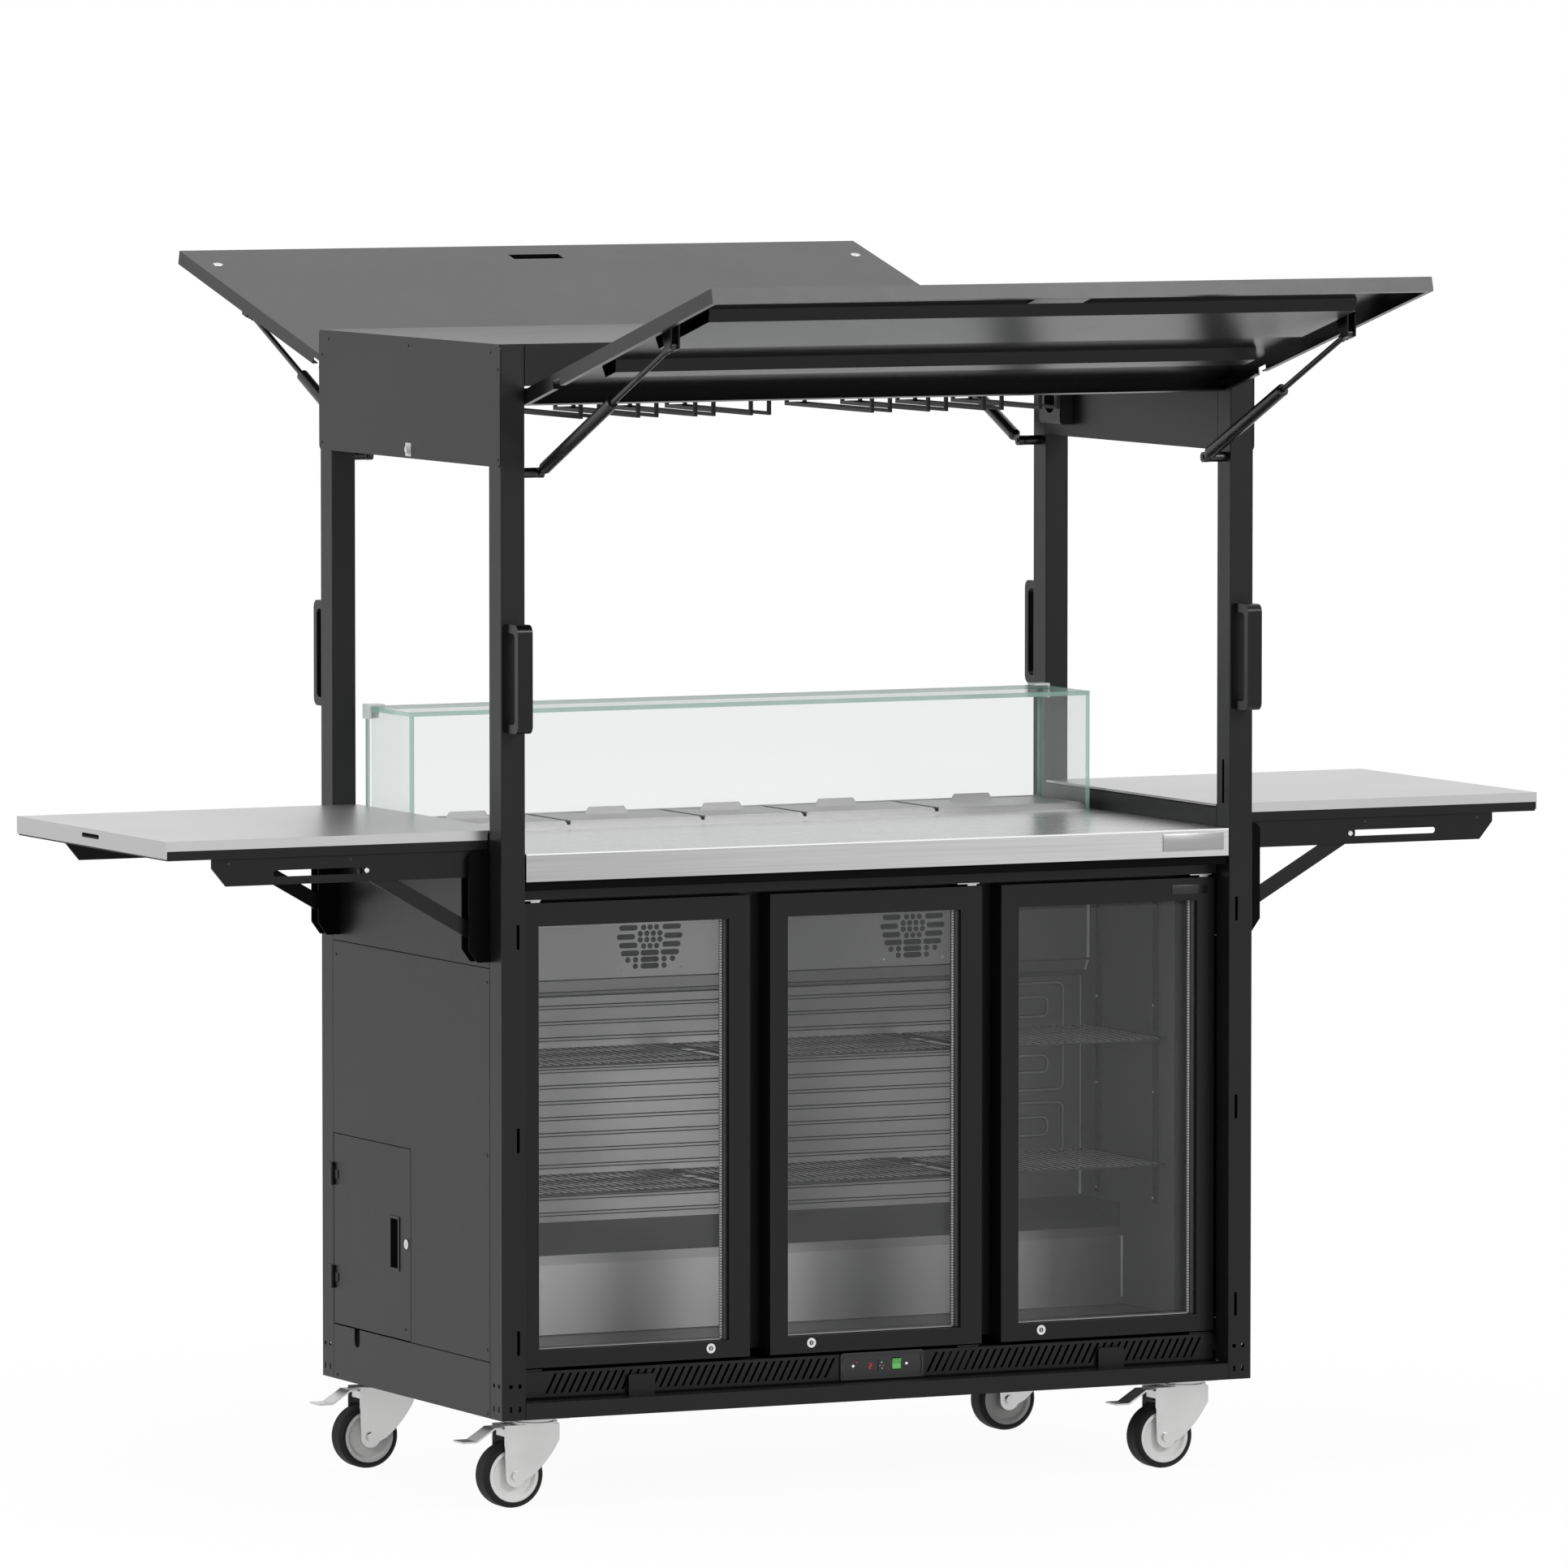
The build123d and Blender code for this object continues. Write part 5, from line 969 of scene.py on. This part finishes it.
def floor():
    """Pale floor that runs into the white background and keeps the station's shadow."""
    shape = bmesh.new()
    bmesh.ops.create_circle(shape, cap_ends=True, segments=96, radius=floor_radius)
    mesh = bpy.data.meshes.new("floor")
    shape.to_mesh(mesh)
    shape.free()
    ground = bpy.data.objects.new("floor", mesh)
    bpy.context.scene.collection.objects.link(ground)
    finish = Finish("floor", Roughness=0.9, Specular_IOR_Level=0.1)
    speckle = finish.noise(3.0, 2.0)
    finish.set(Base_Color=finish.blend(speckle, tint(238), tint(242)))
    tree = finish.tree
    path = tree.nodes.new("ShaderNodeLightPath")
    seen = Wire(finish, path.outputs["Is Camera Ray"])
    for output in ("Is Glossy Ray", "Is Transmission Ray"):
        seen = seen.math("MAXIMUM", seen, Wire(finish, path.outputs[output]))
    x, y, _ = finish.axes()
    away = finish.node("ShaderNodeMapRange", None, (x * x + y * y) ** 0.5, 0.8, 3.0, 0.95, 1.0)
    glow = tree.nodes.new("ShaderNodeEmission")
    mixer = tree.nodes.new("ShaderNodeMixShader")
    finish.feed(mixer.inputs[0], seen * away)
    tree.links.new(finish.surface.outputs[0], mixer.inputs[1])
    tree.links.new(glow.outputs[0], mixer.inputs[2])
    tree.links.new(mixer.outputs[0], finish.output.inputs["Surface"])
    mesh.materials.append(finish.material)


studio()
softbox("key_left", (-6.5, -1.5, 3.6), (0, 0, 1.1), (4.0, 4.0), 200.0)
softbox("front_right", (2.83, -6.4, 4.6), (0, -1.1, 2.1), (3.0, 2.0), 240.0)
softbox("top_fill", (0.0, 0.5, 6.5), (0, 0, 1.0), (4.0, 4.0), 110.0)
floor()

# The photograph's camera, solved from its edges
camera_data = bpy.data.cameras.new("camera")
camera_data.sensor_width = 36.0
camera_data.lens = 297.28
camera_data.clip_end = 200.0
camera = bpy.data.objects.new("camera", camera_data)
bpy.context.scene.collection.objects.link(camera)
camera.location = (-9.9136, -20.4099, 2.8488)
camera.rotation_euler = (math.radians(90 - 4.143), 0.0, math.radians(-25.897))
bpy.context.scene.camera = camera
bpy.context.scene.view_settings.view_transform = "Standard"
